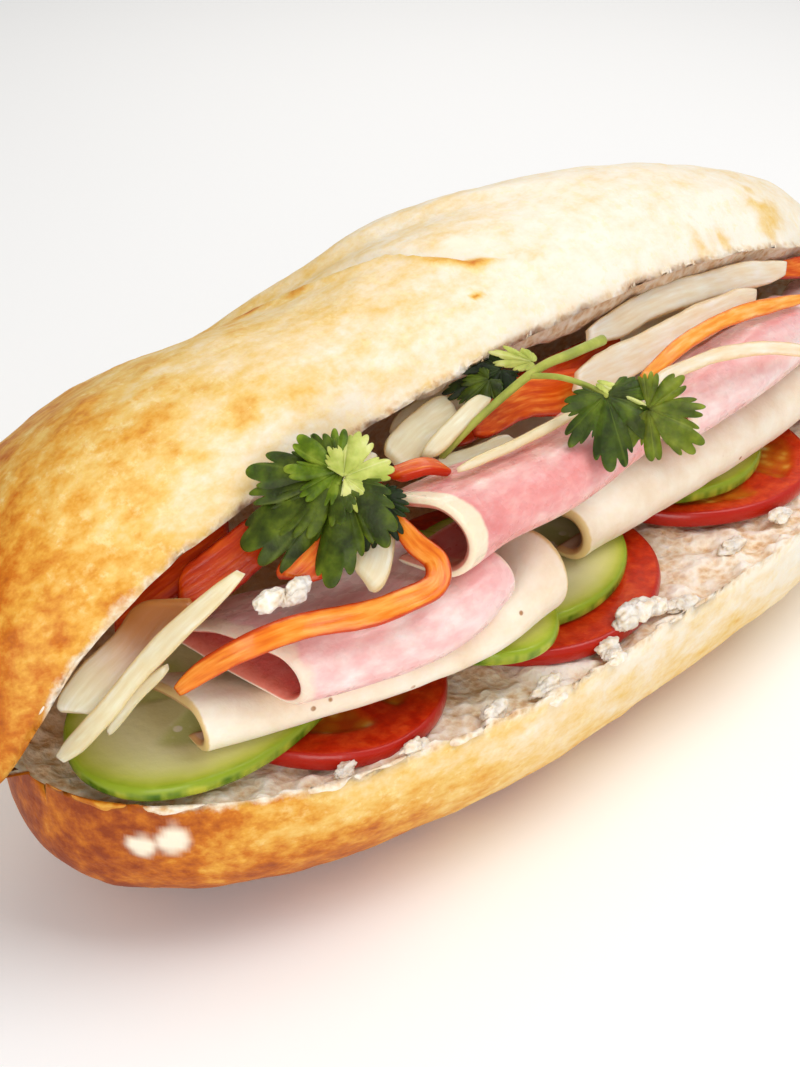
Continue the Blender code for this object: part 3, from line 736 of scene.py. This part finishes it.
# ---------------------------------------------------------------- ham slices
# Cooked ham, sliced thin and folded loosely: pink, marbled, moist enough to shine, with
# a rim of cream-coloured fat that is widest on the second slice.
def ham_finish(name, pink, fat_width, fat_colour, inside):
    """Marbled meat with a pale skin, fat for fat_width mm at its end, and a painted shade,
    of the colour inside, on the inner side of the fold."""
    ham, tree, shader = new_material(
        name, (0.4, 5, 1.4, 1), IOR=1.42, Coat_Weight=0.25, Coat_Roughness=0.2
    )
    coords = add(tree, "TexCoord", "Object")
    grain = add(tree, "Mapping", "Vector", Vector=coords, Scale=(0.5, 1.0, 1.0))
    broad = add(tree, "TexNoise", "Fac", Vector=grain, Scale=1 / (6 * MM), Detail=4.0, Roughness=0.6)
    fine = add(tree, "TexNoise", "Fac", Vector=grain, Scale=1 / (1.8 * MM), Detail=3.0)
    marbling = weighed(tree, broad, 0.7, fine, 0.3)
    stops = list(zip((0.32, 0.46, 0.56, 0.68), pink))
    colour = add(tree, "ValToRGB", "Color", {"stops": stops}, Fac=marbling)
    rim = add(tree, "Attribute", "Fac", {"attribute_name": "border"})
    rim = shifted(tree, rim, coords, 3.0, 1.6)
    rim = add(tree, "MapRange", "Result", EASED, Value=rim, From_Min=1.2, From_Max=0.5)
    colour = add(tree, "Mix", 2, COLOURS, i0=rim, i6=colour, i7="F3D3BE")
    low, high = fat_width - 0.6, fat_width + 0.6
    fat = add(tree, "Attribute", "Fac", {"attribute_name": "from_end"})
    fat = shifted(tree, fat, coords, 4.0, 2.4)
    fat = add(tree, "MapRange", "Result", EASED, Value=fat, From_Min=high, From_Max=low)
    colour = add(tree, "Mix", 2, COLOURS, i0=fat, i6=colour, i7=fat_colour)
    # Painted shade on the inner side of the fold.
    tuck = add(tree, "Attribute", "Fac", {"attribute_name": "inner"})
    tuck = add(tree, "Math", "Value", TIMES, i0=tuck, i1=0.75)
    colour = add(tree, "Mix", 2, COLOURS, i0=tuck, i6=colour, i7=inside)
    dry = add(tree, "TexNoise", "Fac", Vector=coords, Scale=1 / (3 * MM))
    wet = {"From_Min": 0.4, "From_Max": 0.65, "To_Min": 0.24, "To_Max": 0.5}
    join(shader, Roughness=add(tree, "MapRange", "Result", EASED, Value=dry, **wet))
    fibres = add(tree, "TexNoise", "Fac", Vector=grain, Scale=1 / (2.6 * MM), Detail=3.0)
    pits = add(tree, "TexNoise", "Fac", Vector=coords, Scale=1 / (0.8 * MM))
    surface(tree, shader, colour, weighed(tree, fibres, 1.0, pits, 0.25), 0.5, 0.6)
    return ham


# The last colour given to each ham is its painted shade inside the fold.
rosy = ham_finish("cooked_ham", ("E8A2A2", "EFB6B4", "F5CAC6", "FAE0DC"), 1.5, "F4D5C2", "D2482E")
fatty_tones = ("DA807E", "E59794", "EEB0AA", "F6CEC4")
fatty = ham_finish("cooked_ham_with_fat", fatty_tones, 5.0, "F1DCC0", "A02410")
ham_1 = [(-81, -31, 42.7, 5), (-66, -38, 44.2, 5.1), (-54, -40, 45.4, 5.1), (-44, -38, 46.3, 5.2)]
ham_2 = [(-56, -40, 56.5, 6.5), (-45, -39, 57, 5.6), (-30, -40, 57.4, 5), (-10, -38, 58.7, 4.4)]
ham_3 = [(8, -33, 50.5, 4.6), (22, -34, 51.5, 5.3), (38, -33, 52, 5.3), (60, -28, 50.5, 4.4)]
ham_4 = [(66, -26, 46, 4.5), (78, -21, 46.2, 4.4), (89, -15, 44.7, 3.3)]
folded_slice("ham_slice_1", ham_1, 20, 22, 5, 1.6, 0.5, rosy, 51, 0.3)
folded_slice("ham_slice_2", ham_2, 6, 10, 3, 1.6, 0.15, fatty, 54, 0.25)
folded_slice("ham_slice_3", ham_3, 12, 9, 2, 1.6, 0.2, rosy, 57, 0.3)
folded_slice("ham_slice_4", ham_4, 8, 9, 2, 1.6, 0, rosy, 60, 0.25)


# ---------------------------------------------------------------- pickled carrot strips
# Carrot shaved lengthwise and pickled in vinegar and sugar: limp, wet, deep orange, with
# darker red-orange edges and pale lines where the core's fibres run along the strip.
OUT_OF_MOUTH, UPWARD, FORWARD = (-0.63, -0.58, 0.51), (0, 0, 1), (0, -1, 0)


def shaved_strip(name, route, width, thickness, facing, finish, seed):
    """A strip along a route, flat side towards facing, half its width being
    w/2 (1 - 0.6 s^6) for s from -1 to 1 along it. Its ends are cut slanting, its edges
    waver by soft random steps, it is cupped a little across, and it twists slowly."""
    route = np.array(route, float)
    length = np.linalg.norm(np.diff(route, axis=0), axis=1).sum()
    rim = 0.5 * thickness
    a = edged_shares(max(40, int(1.6 * length)), length, rim)
    line = curve_through(route, a)
    way = unit(np.gradient(line, a, axis=0))
    side = unit(np.cross(facing, way))
    flat = np.cross(way, side)
    spread = 2 * a - 1
    waver = lumps(line, 5.5, seed) * 0.09 + lumps(line, 1.8, seed + 1) * 0.035
    half_width = width / 2 * (1 - 0.6 * spread**6) * (1 + waver)
    drift = 0.06 * width * lumps(line, 7, seed + 2)
    b = edged_shares(9, width, 0.6 * rim)
    across = (2 * b - 1)[None, :, None]
    twist = 0.3 * lumps(line, 16, seed + 3)[:, None, None]
    middle = line[:, None] + side[:, None] * (across * half_width[:, None, None] + drift[:, None, None])
    middle = middle + flat[:, None] * (across * half_width[:, None, None] * twist - 0.03 * width * across**2)
    slant = 0.9 * math.sin(2.4 * seed + 1) * spread[:, None, None] ** 2
    middle = middle + way[:, None] * across * half_width[:, None, None] * slant
    middle = middle + flat[:, None] * 0.15 * lumps(middle, 4, seed + 4)[..., None]
    slope = ease(a, 0, 1.2 / length) * ease(1 - a, 0, 1.2 / length)
    half = thickness / 2 * slope[:, None] ** 0.5 * rounded_rim(b, width, 0.6 * rim)[None, :]
    border = np.minimum(np.minimum(a, 1 - a)[:, None] * length, np.minimum(b, 1 - b) * width)
    a = a[:, None]
    mesh = sheet_mesh(name, middle, half, border=border, along=a * length, across=b * width, fade=a)
    place_piece(name + "_shaved", mesh, finish, [name])


def strip_finish(name, tones, edge_tone, bumpy, scatter, roughness, faded_tone="", fade=(0.12, 0.8)):
    """Wet shaved root: fibres run along the strip, and its edges are a darker tone. If it
    has a shade tone, it turns to that between two shares of its length: painted shade."""
    root, tree, shader = new_material(name, scatter, IOR=1.37, Roughness=roughness)
    coords = add(tree, "TexCoord", "Object")
    across = add(tree, "Attribute", "Fac", {"attribute_name": "across"})
    along = add(tree, "Attribute", "Fac", {"attribute_name": "along"})
    run = add(tree, "CombineXYZ", "Vector", X=across, Y=along)
    run = add(tree, "Mapping", "Vector", Vector=run, Scale=(1.0, 0.12, 1.0))
    fibres = add(tree, "TexNoise", "Fac", Vector=run, Scale=1.4, Detail=3.0)
    broad = add(tree, "TexNoise", "Fac", Vector=coords, Scale=1 / (7 * MM))
    stops = list(zip((0.34, 0.5, 0.66), tones))
    tone = weighed(tree, fibres, 0.6, broad, 0.4)
    colour = add(tree, "ValToRGB", "Color", {"stops": stops}, Fac=tone)
    edge = add(tree, "Attribute", "Fac", {"attribute_name": "border"})
    edge = shifted(tree, edge, coords, 2.0, 0.5)
    edge = add(tree, "MapRange", "Result", EASED, Value=edge, From_Min=0.65, From_Max=0.15)
    colour = add(tree, "Mix", 2, COLOURS, i0=edge, i6=colour, i7=edge_tone)
    if faded_tone:
        # Painted shade along the strip's length.
        faded = add(tree, "Attribute", "Fac", {"attribute_name": "fade"})
        faded = add(tree, "MapRange", "Result", EASED, Value=faded, From_Min=fade[0], From_Max=fade[1])
        colour = add(tree, "Mix", 2, COLOURS, i0=faded, i6=colour, i7=faded_tone)
    fine = add(tree, "TexNoise", "Fac", Vector=coords, Scale=1 / (1.6 * MM))
    surface(tree, shader, colour, weighed(tree, fibres, 1.0, fine, 0.5), bumpy, 0.4)
    return root


wet_carrot = (0.35, (0.35, 4, 1.2, 0.4), 0.24)
carrot = strip_finish("pickled_carrot", ("B83204", "D4540A", "EC8C30"), "B62C04", *wet_carrot)
ribbon_tones, core_tones = ("D05C0C", "E88420", "F4A84A"), ("E8821C", "F2A440", "F8C880")
ribbon_carrot = strip_finish("pickled_carrot_ribbon", ribbon_tones, "B83A06", *wet_carrot)
# A lighter, yellower copy of the carrot, for one strip at the front right.
light_carrot = strip_finish("pickled_carrot_lighter", core_tones, "E07414", *wet_carrot)
# A darker, redder copy of the carrot for the strips that lie in shade: painted shade.
deep_carrot = strip_finish("pickled_carrot_shaded", ("A62402", "BE3804", "D4560C"), "921A02", *wet_carrot)
ribbon_route = [
    (-94, -18, 48), (-91, -22, 52.5), (-87, -26, 56), (-80, -29, 57), (-74, -34, 58),
    (-70, -37, 59), (-64, -39, 60), (-61, -37, 62), (-61.5, -33, 64), (-61.5, -28, 67),
]
for number, (route, width, thickness, facing, finish) in enumerate((
    ([(-93, -4, 53), (-84, -6, 57), (-74, -8.5, 61.5)], 6, 1.8, OUT_OF_MOUTH, deep_carrot),
    ([(-86, -10, 56), (-79, -13, 60), (-71, -16, 64)], 7, 1.8, OUT_OF_MOUTH, deep_carrot),
    (ribbon_route, 3.6, 1.4, OUT_OF_MOUTH, ribbon_carrot),
    ([(-76, -23, 60), (-72, -24, 63), (-66, -24, 66)], 6, 1.8, OUT_OF_MOUTH, carrot),
    ([(-57, -24, 69), (-52, -26, 69.5), (-48, -27, 68)], 3.6, 1.4, UPWARD, carrot),
    ([(-31, -17.5, 65), (-21, -17, 65), (-2, -18, 62)], 7, 1.8, OUT_OF_MOUTH, carrot),
    ([(-33, -19.5, 57), (-20, -19.5, 57), (-4, -20, 56)], 5, 1.8, OUT_OF_MOUTH, deep_carrot),
    ([(-14, -12, 62), (0, -11, 62), (16, -11, 61)], 5, 1.8, OUT_OF_MOUTH, deep_carrot),
    ([(0, -27, 65), (17, -26, 67), (32, -26, 66), (50, -26, 62.5)], 2.8, 1.8, OUT_OF_MOUTH, light_carrot),
    ([(-70, -12, 58), (-57, -10, 60), (-44, -9, 61)], 7, 1.8, OUT_OF_MOUTH, deep_carrot),
    ([(-28, -8, 58), (-8, -7, 58), (14, -7, 58)], 6, 1.8, OUT_OF_MOUTH, deep_carrot),
    ([(61, -13, 60.5), (69, -13.5, 59), (78, -13, 56.5)], 4, 1.8, OUT_OF_MOUTH, carrot),
), 1):
    name = f"carrot_strip_{number}"
    shaved_strip(name, route, width, thickness, facing, finish, 90 + 10 * number)

# ---------------------------------------------------------------- pickled daikon strips
# White radish shaved the same way: translucent, so it takes on the orange of what is
# behind it, whitest where it is thick and brownish where it is thin or in shade. The brown
# that one strip turns towards its upper end is painted shade.
wet_daikon = (0.12, (0.75, 7, 5, 3), 0.22)
plain_tones, white_tones = ("E0C69C", "E6D2AE", "EFE2C6"), ("E8C8A6", "EED6BC", "F5E6D6")
stained_tones = ("E2D0AE", "E9DCC0", "F3EBDA")
daikon = strip_finish("pickled_daikon", plain_tones, "D8BC8E", *wet_daikon)
white_daikon = strip_finish("pickled_daikon_white", white_tones, "DCB890", *wet_daikon)
# The first strip's turn to brown along its length is painted shade.
stained_daikon = strip_finish("pickled_daikon_shaded", stained_tones, "D8BC92", *wet_daikon, "9A6230")
front_route = [
    (-9, -33, 64), (-3, -33, 68), (7.5, -33.5, 67.8), (17, -34.5, 66.5),
    (25, -35.5, 64.5), (34, -36, 61), (43, -35.5, 57),
]
for number, (route, width, thickness, facing, finish) in enumerate((
    ([(-103.5, -7, 44), (-97, -10.5, 51), (-88.5, -12.5, 58)], 8, 2, OUT_OF_MOUTH, stained_daikon),
    ([(-106, -6, 36.6), (-103, -12, 45), (-97, -18, 56), (-88, -26, 68)], 3, 1.4, OUT_OF_MOUTH, daikon),
    ([(-101.5, -11.5, 41.6), (-98.5, -14.5, 47.6), (-95, -18, 52.6)], 1.6, 1.2, OUT_OF_MOUTH, daikon),
    ([(-70, -31, 60.5), (-65, -28.5, 62.5), (-61, -25, 65)], 6, 1.4, OUT_OF_MOUTH, daikon),
    ([(-49, -17, 66), (-40, -15, 67), (-31, -14, 67)], 6, 1.6, OUT_OF_MOUTH, daikon),
    ([(-46, -21.5, 67), (-38, -20.5, 69), (-30, -19.5, 70.5)], 3, 1.4, OUT_OF_MOUTH, daikon),
    ([(-43, -21.5, 63.5), (-34, -22, 62.5), (-25, -21.5, 61.5)], 4, 1.4, OUT_OF_MOUTH, daikon),
    ([(-50, -31, 70), (-34, -31, 69), (-17, -31, 68.5)], 1.6, 1.4, OUT_OF_MOUTH, daikon),
    ([(-10, -21, 66), (7, -21, 65), (24, -21, 65), (42, -21, 63.5)], 6, 1.8, OUT_OF_MOUTH, white_daikon),
    ([(2, -14, 67.5), (24, -14, 67), (44, -15, 65), (58, -17, 63)], 5, 1.8, OUT_OF_MOUTH, white_daikon),
    (front_route, 2.4, 1.6, OUT_OF_MOUTH, white_daikon),
    ([(-67, -17, 65), (-59, -17, 67), (-52, -15, 68)], 5, 1.6, OUT_OF_MOUTH, daikon),
    ([(20, -7, 57.5), (38, -7, 57), (55, -8, 55)], 5, 1.6, OUT_OF_MOUTH, daikon),
    ([(-42, -11, 65), (-30, -10, 66), (-17, -10, 66)], 5, 1.6, OUT_OF_MOUTH, daikon),
    ([(60, -26, 60.5), (72, -24, 59), (84, -19, 56.5)], 4, 1.6, FORWARD, daikon),
), 1):
    name = f"daikon_strip_{number}"
    shaved_strip(name, route, width, thickness, facing, finish, 290 + 10 * number)


# ---------------------------------------------------------------- coriander sprigs
# Fresh flat coriander, two sprigs laid on last: thin soft leaflets, deeply cut into lobes
# with round teeth, dark above and pale below, on thin juicy stalks.
def leaflet(name, base, tip, facing, width, fan, cup, seed, finish, thickness=0.3):
    """A leaflet from its stalk at base towards tip. Its edge is the fan cos(a / 2)^p, cut
    between its lobes by factors 1 - depth e^(-|a - cut| / 6.5 degrees), and toothed by
    smaller ones at random angles. The blade is cupped, and pleated along its cuts."""
    power, cuts, tooth = fan
    base, tip = np.array(base, float), np.array(tip, float)
    reach = np.linalg.norm(tip - base)
    way = (tip - base) / reach
    side = unit(np.cross(facing, way))
    flat = np.cross(way, side)
    degrees = np.linspace(-128, 128, 300)
    a = np.radians(degrees)
    chance = np.random.default_rng(seed)
    waver = 0.05 * lumps(np.stack([a * 3, 0 * a, 0 * a], -1), 1.0, seed)
    edge_reach = np.cos(a * 0.5) ** power * (1 + waver)
    pleat = 0 * a
    for cut, depth in cuts:
        notch = np.exp(-np.abs(degrees - cut - chance.uniform(-6, 6)) / 6.5)
        edge_reach = edge_reach * (1 - depth * notch)
        pleat = pleat - 0.09 * np.exp(-(((degrees - cut) / 14) ** 2))
    place = -122.0
    while place < 122:
        bite = chance.uniform(0.4, 1) * tooth * np.exp(-np.abs(degrees - place) / 2.6)
        edge_reach = edge_reach * (1 - bite)
        place += chance.uniform(9, 16)
    r = np.concatenate([np.linspace(0.03, 0.96, 24), [0.985, 1.0]])[None, :]
    out = r * edge_reach[:, None]
    ahead, aside = out * np.cos(a)[:, None], out * np.sin(a)[:, None] * width
    rise = cup[0] * ahead**2 + cup[1] * aside**2 + pleat[:, None] * r
    rise = rise + 0.1 * r**2 * lumps(np.stack([ahead * 3, aside * 3, 0 * ahead], -1), 1.0, seed + 1)
    middle = base + reach * (ahead[..., None] * way + aside[..., None] * side + rise[..., None] * flat)
    half = thickness / 2 * np.sqrt(np.clip((1 - r) * 14, 0, 1)) * ease(128 - np.abs(degrees), 0, 6)[:, None]
    mesh = sheet_mesh(name, middle, half, ahead=ahead, aside=aside)
    place_piece(name, mesh, finish)


def stalk(name, route, radii, finish, sides=10):
    """A round stalk along a curve, its radius running through radii, closed at its ends."""
    shares = np.linspace(0, 1, 60)
    line = curve_through(route, shares)
    way = unit(np.gradient(line, axis=0))
    side = unit(np.cross(way, (0.3, 0.2, 1)))
    other = np.cross(way, side)
    radius = np.interp(shares, np.linspace(0, 1, len(radii)), radii)[:, None, None]
    radius = radius * np.sqrt(np.clip(np.minimum(shares, 1 - shares) * 60, 0.02, 1))[:, None, None]
    turn = np.linspace(0, 2 * math.pi, sides, endpoint=False)[:, None]
    points = line[:, None] + radius * (np.cos(turn) * side[:, None] + np.sin(turn) * other[:, None])
    mesh = turned_outward(closed_mesh(name, points, ring_faces(60, sides)))
    place_piece(name, mesh, finish)


def leaf_finish(name, tones, vein):
    """Mottled green with fine pale veins that fan out from the stalk."""
    blade, tree, shader = new_material(
        name, (0.2, 1, 2, 0.4), Roughness=0.5, Specular_IOR_Level=0.35, IOR=1.4
    )
    coords = add(tree, "TexCoord", "Object")
    mottle = add(tree, "TexNoise", "Fac", Vector=coords, Scale=1 / (3.2 * MM), Detail=3.0)
    stops = list(zip((0.34, 0.52, 0.7), tones))
    colour = add(tree, "ValToRGB", "Color", {"stops": stops}, Fac=mottle)
    ahead = add(tree, "Attribute", "Fac", {"attribute_name": "ahead"})
    aside = add(tree, "Attribute", "Fac", {"attribute_name": "aside"})
    angle = add(tree, "Math", "Value", {"operation": "ARCTAN2"}, i0=aside, i1=ahead)
    angle = add(tree, "Math", "Value", TIMES, i0=angle, i1=3.0)
    spokes = add(tree, "Math", "Value", {"operation": "SINE"}, i0=angle)
    spokes = add(tree, "Math", "Value", {"operation": "ABSOLUTE"}, i0=spokes)
    veins = add(tree, "MapRange", "Result", EASED, Value=spokes, From_Min=0.1, From_Max=0.0)
    veins = add(tree, "Math", "Value", TIMES, i0=veins, i1=0.3)
    colour = add(tree, "Mix", 2, COLOURS, i0=veins, i6=colour, i7=vein)
    sunk = add(tree, "MapRange", "Result", EASED, Value=spokes, From_Min=0.3, From_Max=0.0)
    grain = add(tree, "TexNoise", "Fac", Vector=coords, Scale=1 / (0.9 * MM))
    height = add(tree, "Math", "Value", {"operation": "MULTIPLY_ADD"}, i0=sunk, i1=-0.8, i2=grain)
    surface(tree, shader, colour, height, 0.5, 0.3)
    return blade


green = leaf_finish("coriander_leaf", ("242E02", "3E4C06", "5E6E14"), "6E7C28")
olive = leaf_finish("coriander_leaf_dry_side", ("3E4606", "5C660E", "7E8624"), "8C9038")
bright = leaf_finish("coriander_leaf_lit", ("3A4E02", "587004", "84962A"), "92A43E")
silvery = leaf_finish("coriander_leaf_underside", ("A4B04C", "C2CA6A", "DADF94"), "E4E8B0")
dark = leaf_finish("coriander_leaf_shaded", ("0C1402", "182406", "2C3C0A"), "3A4A18")
stem_green = leaf_finish("coriander_stem", ("76801C", "949A30", "B4B64E"), "C0C470")
FAN = (1.4, ((-78, 0.35), (-36, 0.5), (16, 0.56), (62, 0.42)), 0.3)
WIDE = (0.8, ((-86, 0.4), (-40, 0.56), (10, 0.4), (50, 0.58), (92, 0.4)), 0.3)
NARROW = (3.0, ((-46, 0.5), (-17, 0.45), (18, 0.48), (46, 0.5)), 0.18)
FACING_OUT, TIPPED_BACK = (-0.6, -0.5, 0.6), (-0.5, -0.4, 0.76)
for place, *shape in (
    ("1a", (-66.7, -24.3, 73), (-80.8, -21, 62.4), (-0.6, -0.45, 0.66), 0.95, FAN, (-0.1, -0.16), 3, green),
    ("1j", (-67.5, -23.6, 72.9), (-77.6, -15.6, 69.3), (-0.5, -0.3, 0.8), 0.8, FAN, (-0.12, -0.1), 41, green),
    ("1b", (-66.9, -23.6, 73.8), (-69.6, -16.6, 77.2), (-0.45, -0.55, 0.7), 1, WIDE, (-0.1, -0.1), 5, bright),
    ("1c", (-67.2, -25, 73.6), (-60.6, -28.8, 76), FACING_OUT, 1.15, FAN, (-0.35, -0.4), 8, silvery),
    ("1d", (-63.8, -27.1, 70.2), (-67.6, -29.6, 62.3), (-0.65, -0.55, 0.5), 0.95, FAN, (-0.1, 0.15), 11, dark),
    ("2e", (-24.2, -37.6, 74.6), (-27.4, -44.9, 66), FACING_OUT, 1, FAN, (-0.12, -0.14), 14, green),
    ("2f", (-20.8, -43, 72.9), (-16.2, -51.8, 69.8), FACING_OUT, 0.92, WIDE, (-0.08, -0.14), 17, olive),
    ("2g", (-24, -36.4, 76), (-19.6, -44, 72.6), (-0.5, -0.6, 0.6), 0.22, NARROW, (0.1, -0.5), 19, silvery),
    ("2h", (-24.3, -17.6, 72.4), (-33.6, -13.6, 68.9), TIPPED_BACK, 0.62, FAN, (-0.1, -0.2), 23, dark),
    ("2k", (-27, -17.4, 71.6), (-33, -16.4, 68.6), TIPPED_BACK, 0.7, FAN, (-0.1, -0.2), 29, green),
    ("2i", (-21.7, -21.6, 74), (-25, -14.2, 75.4), TIPPED_BACK, 0.5, NARROW, (-0.2, -0.5), 26, silvery),
):
    leaflet(f"coriander_{place[0]}_leaf_{place[1]}", *shape)

first_stalk = [(-58, -16, 68), (-61, -20, 71.5), (-65, -23, 73.4), (-68, -24.5, 72.5)]
second_stalk = [
    (-42, -20.5, 64.6), (-34.7, -22.4, 69.8), (-26, -25.6, 75.4), (-20, -28, 77), (-12, -28, 76.6),
]
second_branch = [(-27, -25.2, 74.8), (-25.6, -30, 75.6), (-24.4, -35, 75.2), (-24, -38, 74.4)]
stalk("coriander_1_stalk", first_stalk, (0.6, 0.55, 0.4), bright)
stalk("coriander_2_stalk", second_stalk, (0.5, 0.6, 0.7, 0.8, 0.85), stem_green)
stalk("coriander_2_branch", second_branch, (0.5, 0.45, 0.4), stem_green)


# ---------------------------------------------------------------- torn crumbs
# Bits of white crumb that the knife tore up along the lower cut: soft, porous, uneven
# lumps that lie against the tomato and on the lip.
def lumpy_ball(centre, size, seed, sides=36):
    """A ball whose radius is 1 + 0.3 of coarse, 0.28 of middling and 0.16 of fine random
    waves, as points."""
    up = np.linspace(-math.pi / 2, math.pi / 2, sides // 2 + 1)[:, None]
    turn = np.linspace(0, 2 * math.pi, sides, endpoint=False)[None, :]
    ball = np.stack([np.cos(up) * np.cos(turn), np.cos(up) * np.sin(turn), np.sin(up) + 0 * turn], -1)
    swell = 1 + 0.3 * lumps(ball, 1.0, seed) + 0.28 * lumps(ball, 0.45, seed + 1)
    swell = swell + 0.16 * lumps(ball, 0.22, seed + 2)
    return np.array(centre) + ball * swell[..., None] * np.array(size)


def crumb_cluster(name, spots, finish):
    """One mesh of torn tufts. Each spot is a tuft's middle and half sizes, filled with
    four uneven lumps that run into one another."""
    points, faces = [], []
    for number, (centre, size) in enumerate(spots):
        chance = np.random.default_rng(500 + number)
        for part in range(4):
            place = np.array(centre) - (0, 0, 0.7) + chance.normal(0, 0.38, 3) * size
            lump = lumpy_ball(place, np.array(size) * chance.uniform(0.5, 0.85), 70 + 4 * number + part)
            faces += ring_faces(*lump.shape[:2], sum(len(p) for p in points))
            points.append(lump.reshape(-1, 3))
    mesh = turned_outward(closed_mesh(name, np.concatenate(points), faces))
    place_piece(name, mesh, finish)


soft_crumb, tree, shader = new_material("torn_white_crumb", (0.3, 3, 2, 1.2), Roughness=0.95)
coords = add(tree, "TexCoord", "Object")
cells = add(tree, "TexVoronoi", "Distance", Vector=coords, Scale=1 / (0.9 * MM))
tone = add(tree, "TexNoise", "Fac", Vector=coords, Scale=1 / (1.6 * MM), Detail=3.0)
tone = weighed(tree, tone, 0.7, cells, 0.3)
white = [(0.2, "DDBD96"), (0.42, "F0DFC6"), (0.65, "FAF2E6")]
crumb_colour = add(tree, "ValToRGB", "Color", {"stops": white}, Fac=tone)
surface(tree, shader, crumb_colour, cells, 0.4, 0.5)
crumb_cluster(
    "torn_crumbs_front",
    [
        ((-12.5, -39.0, 33.0), (3.2, 2.0, 1.7)),
        ((-16.5, -39.6, 33.2), (3.2, 1.8, 1.7)),
        ((-24.0, -41.6, 31.6), (2.8, 1.6, 1.3)),
        ((-38.5, -40.8, 30.6), (3.4, 1.8, 1.1)),
        ((-49.5, -38.2, 31.0), (3.0, 1.6, 1.2)),
        ((-6.0, -40.6, 31.0), (2.8, 1.7, 1.0)),
        ((16.0, -36.4, 30.8), (3.4, 1.7, 1.2)),
        ((31.0, -37.6, 30.8), (3.2, 1.6, 1.1)),
        ((-64.5, -35.2, 31.0), (2.8, 1.4, 1.1)),
        ((-74.5, -31.8, 31.0), (2.6, 1.3, 1.0)),
    ],
    soft_crumb,
)
crumb_cluster(
    "crumb_in_filling",
    [
        ((-80.6, -24.2, 60.4), (3.0, 1.4, 1.6)),
        ((-77.2, -26.0, 60.6), (2.4, 1.3, 1.5)),
    ],
    soft_crumb,
)
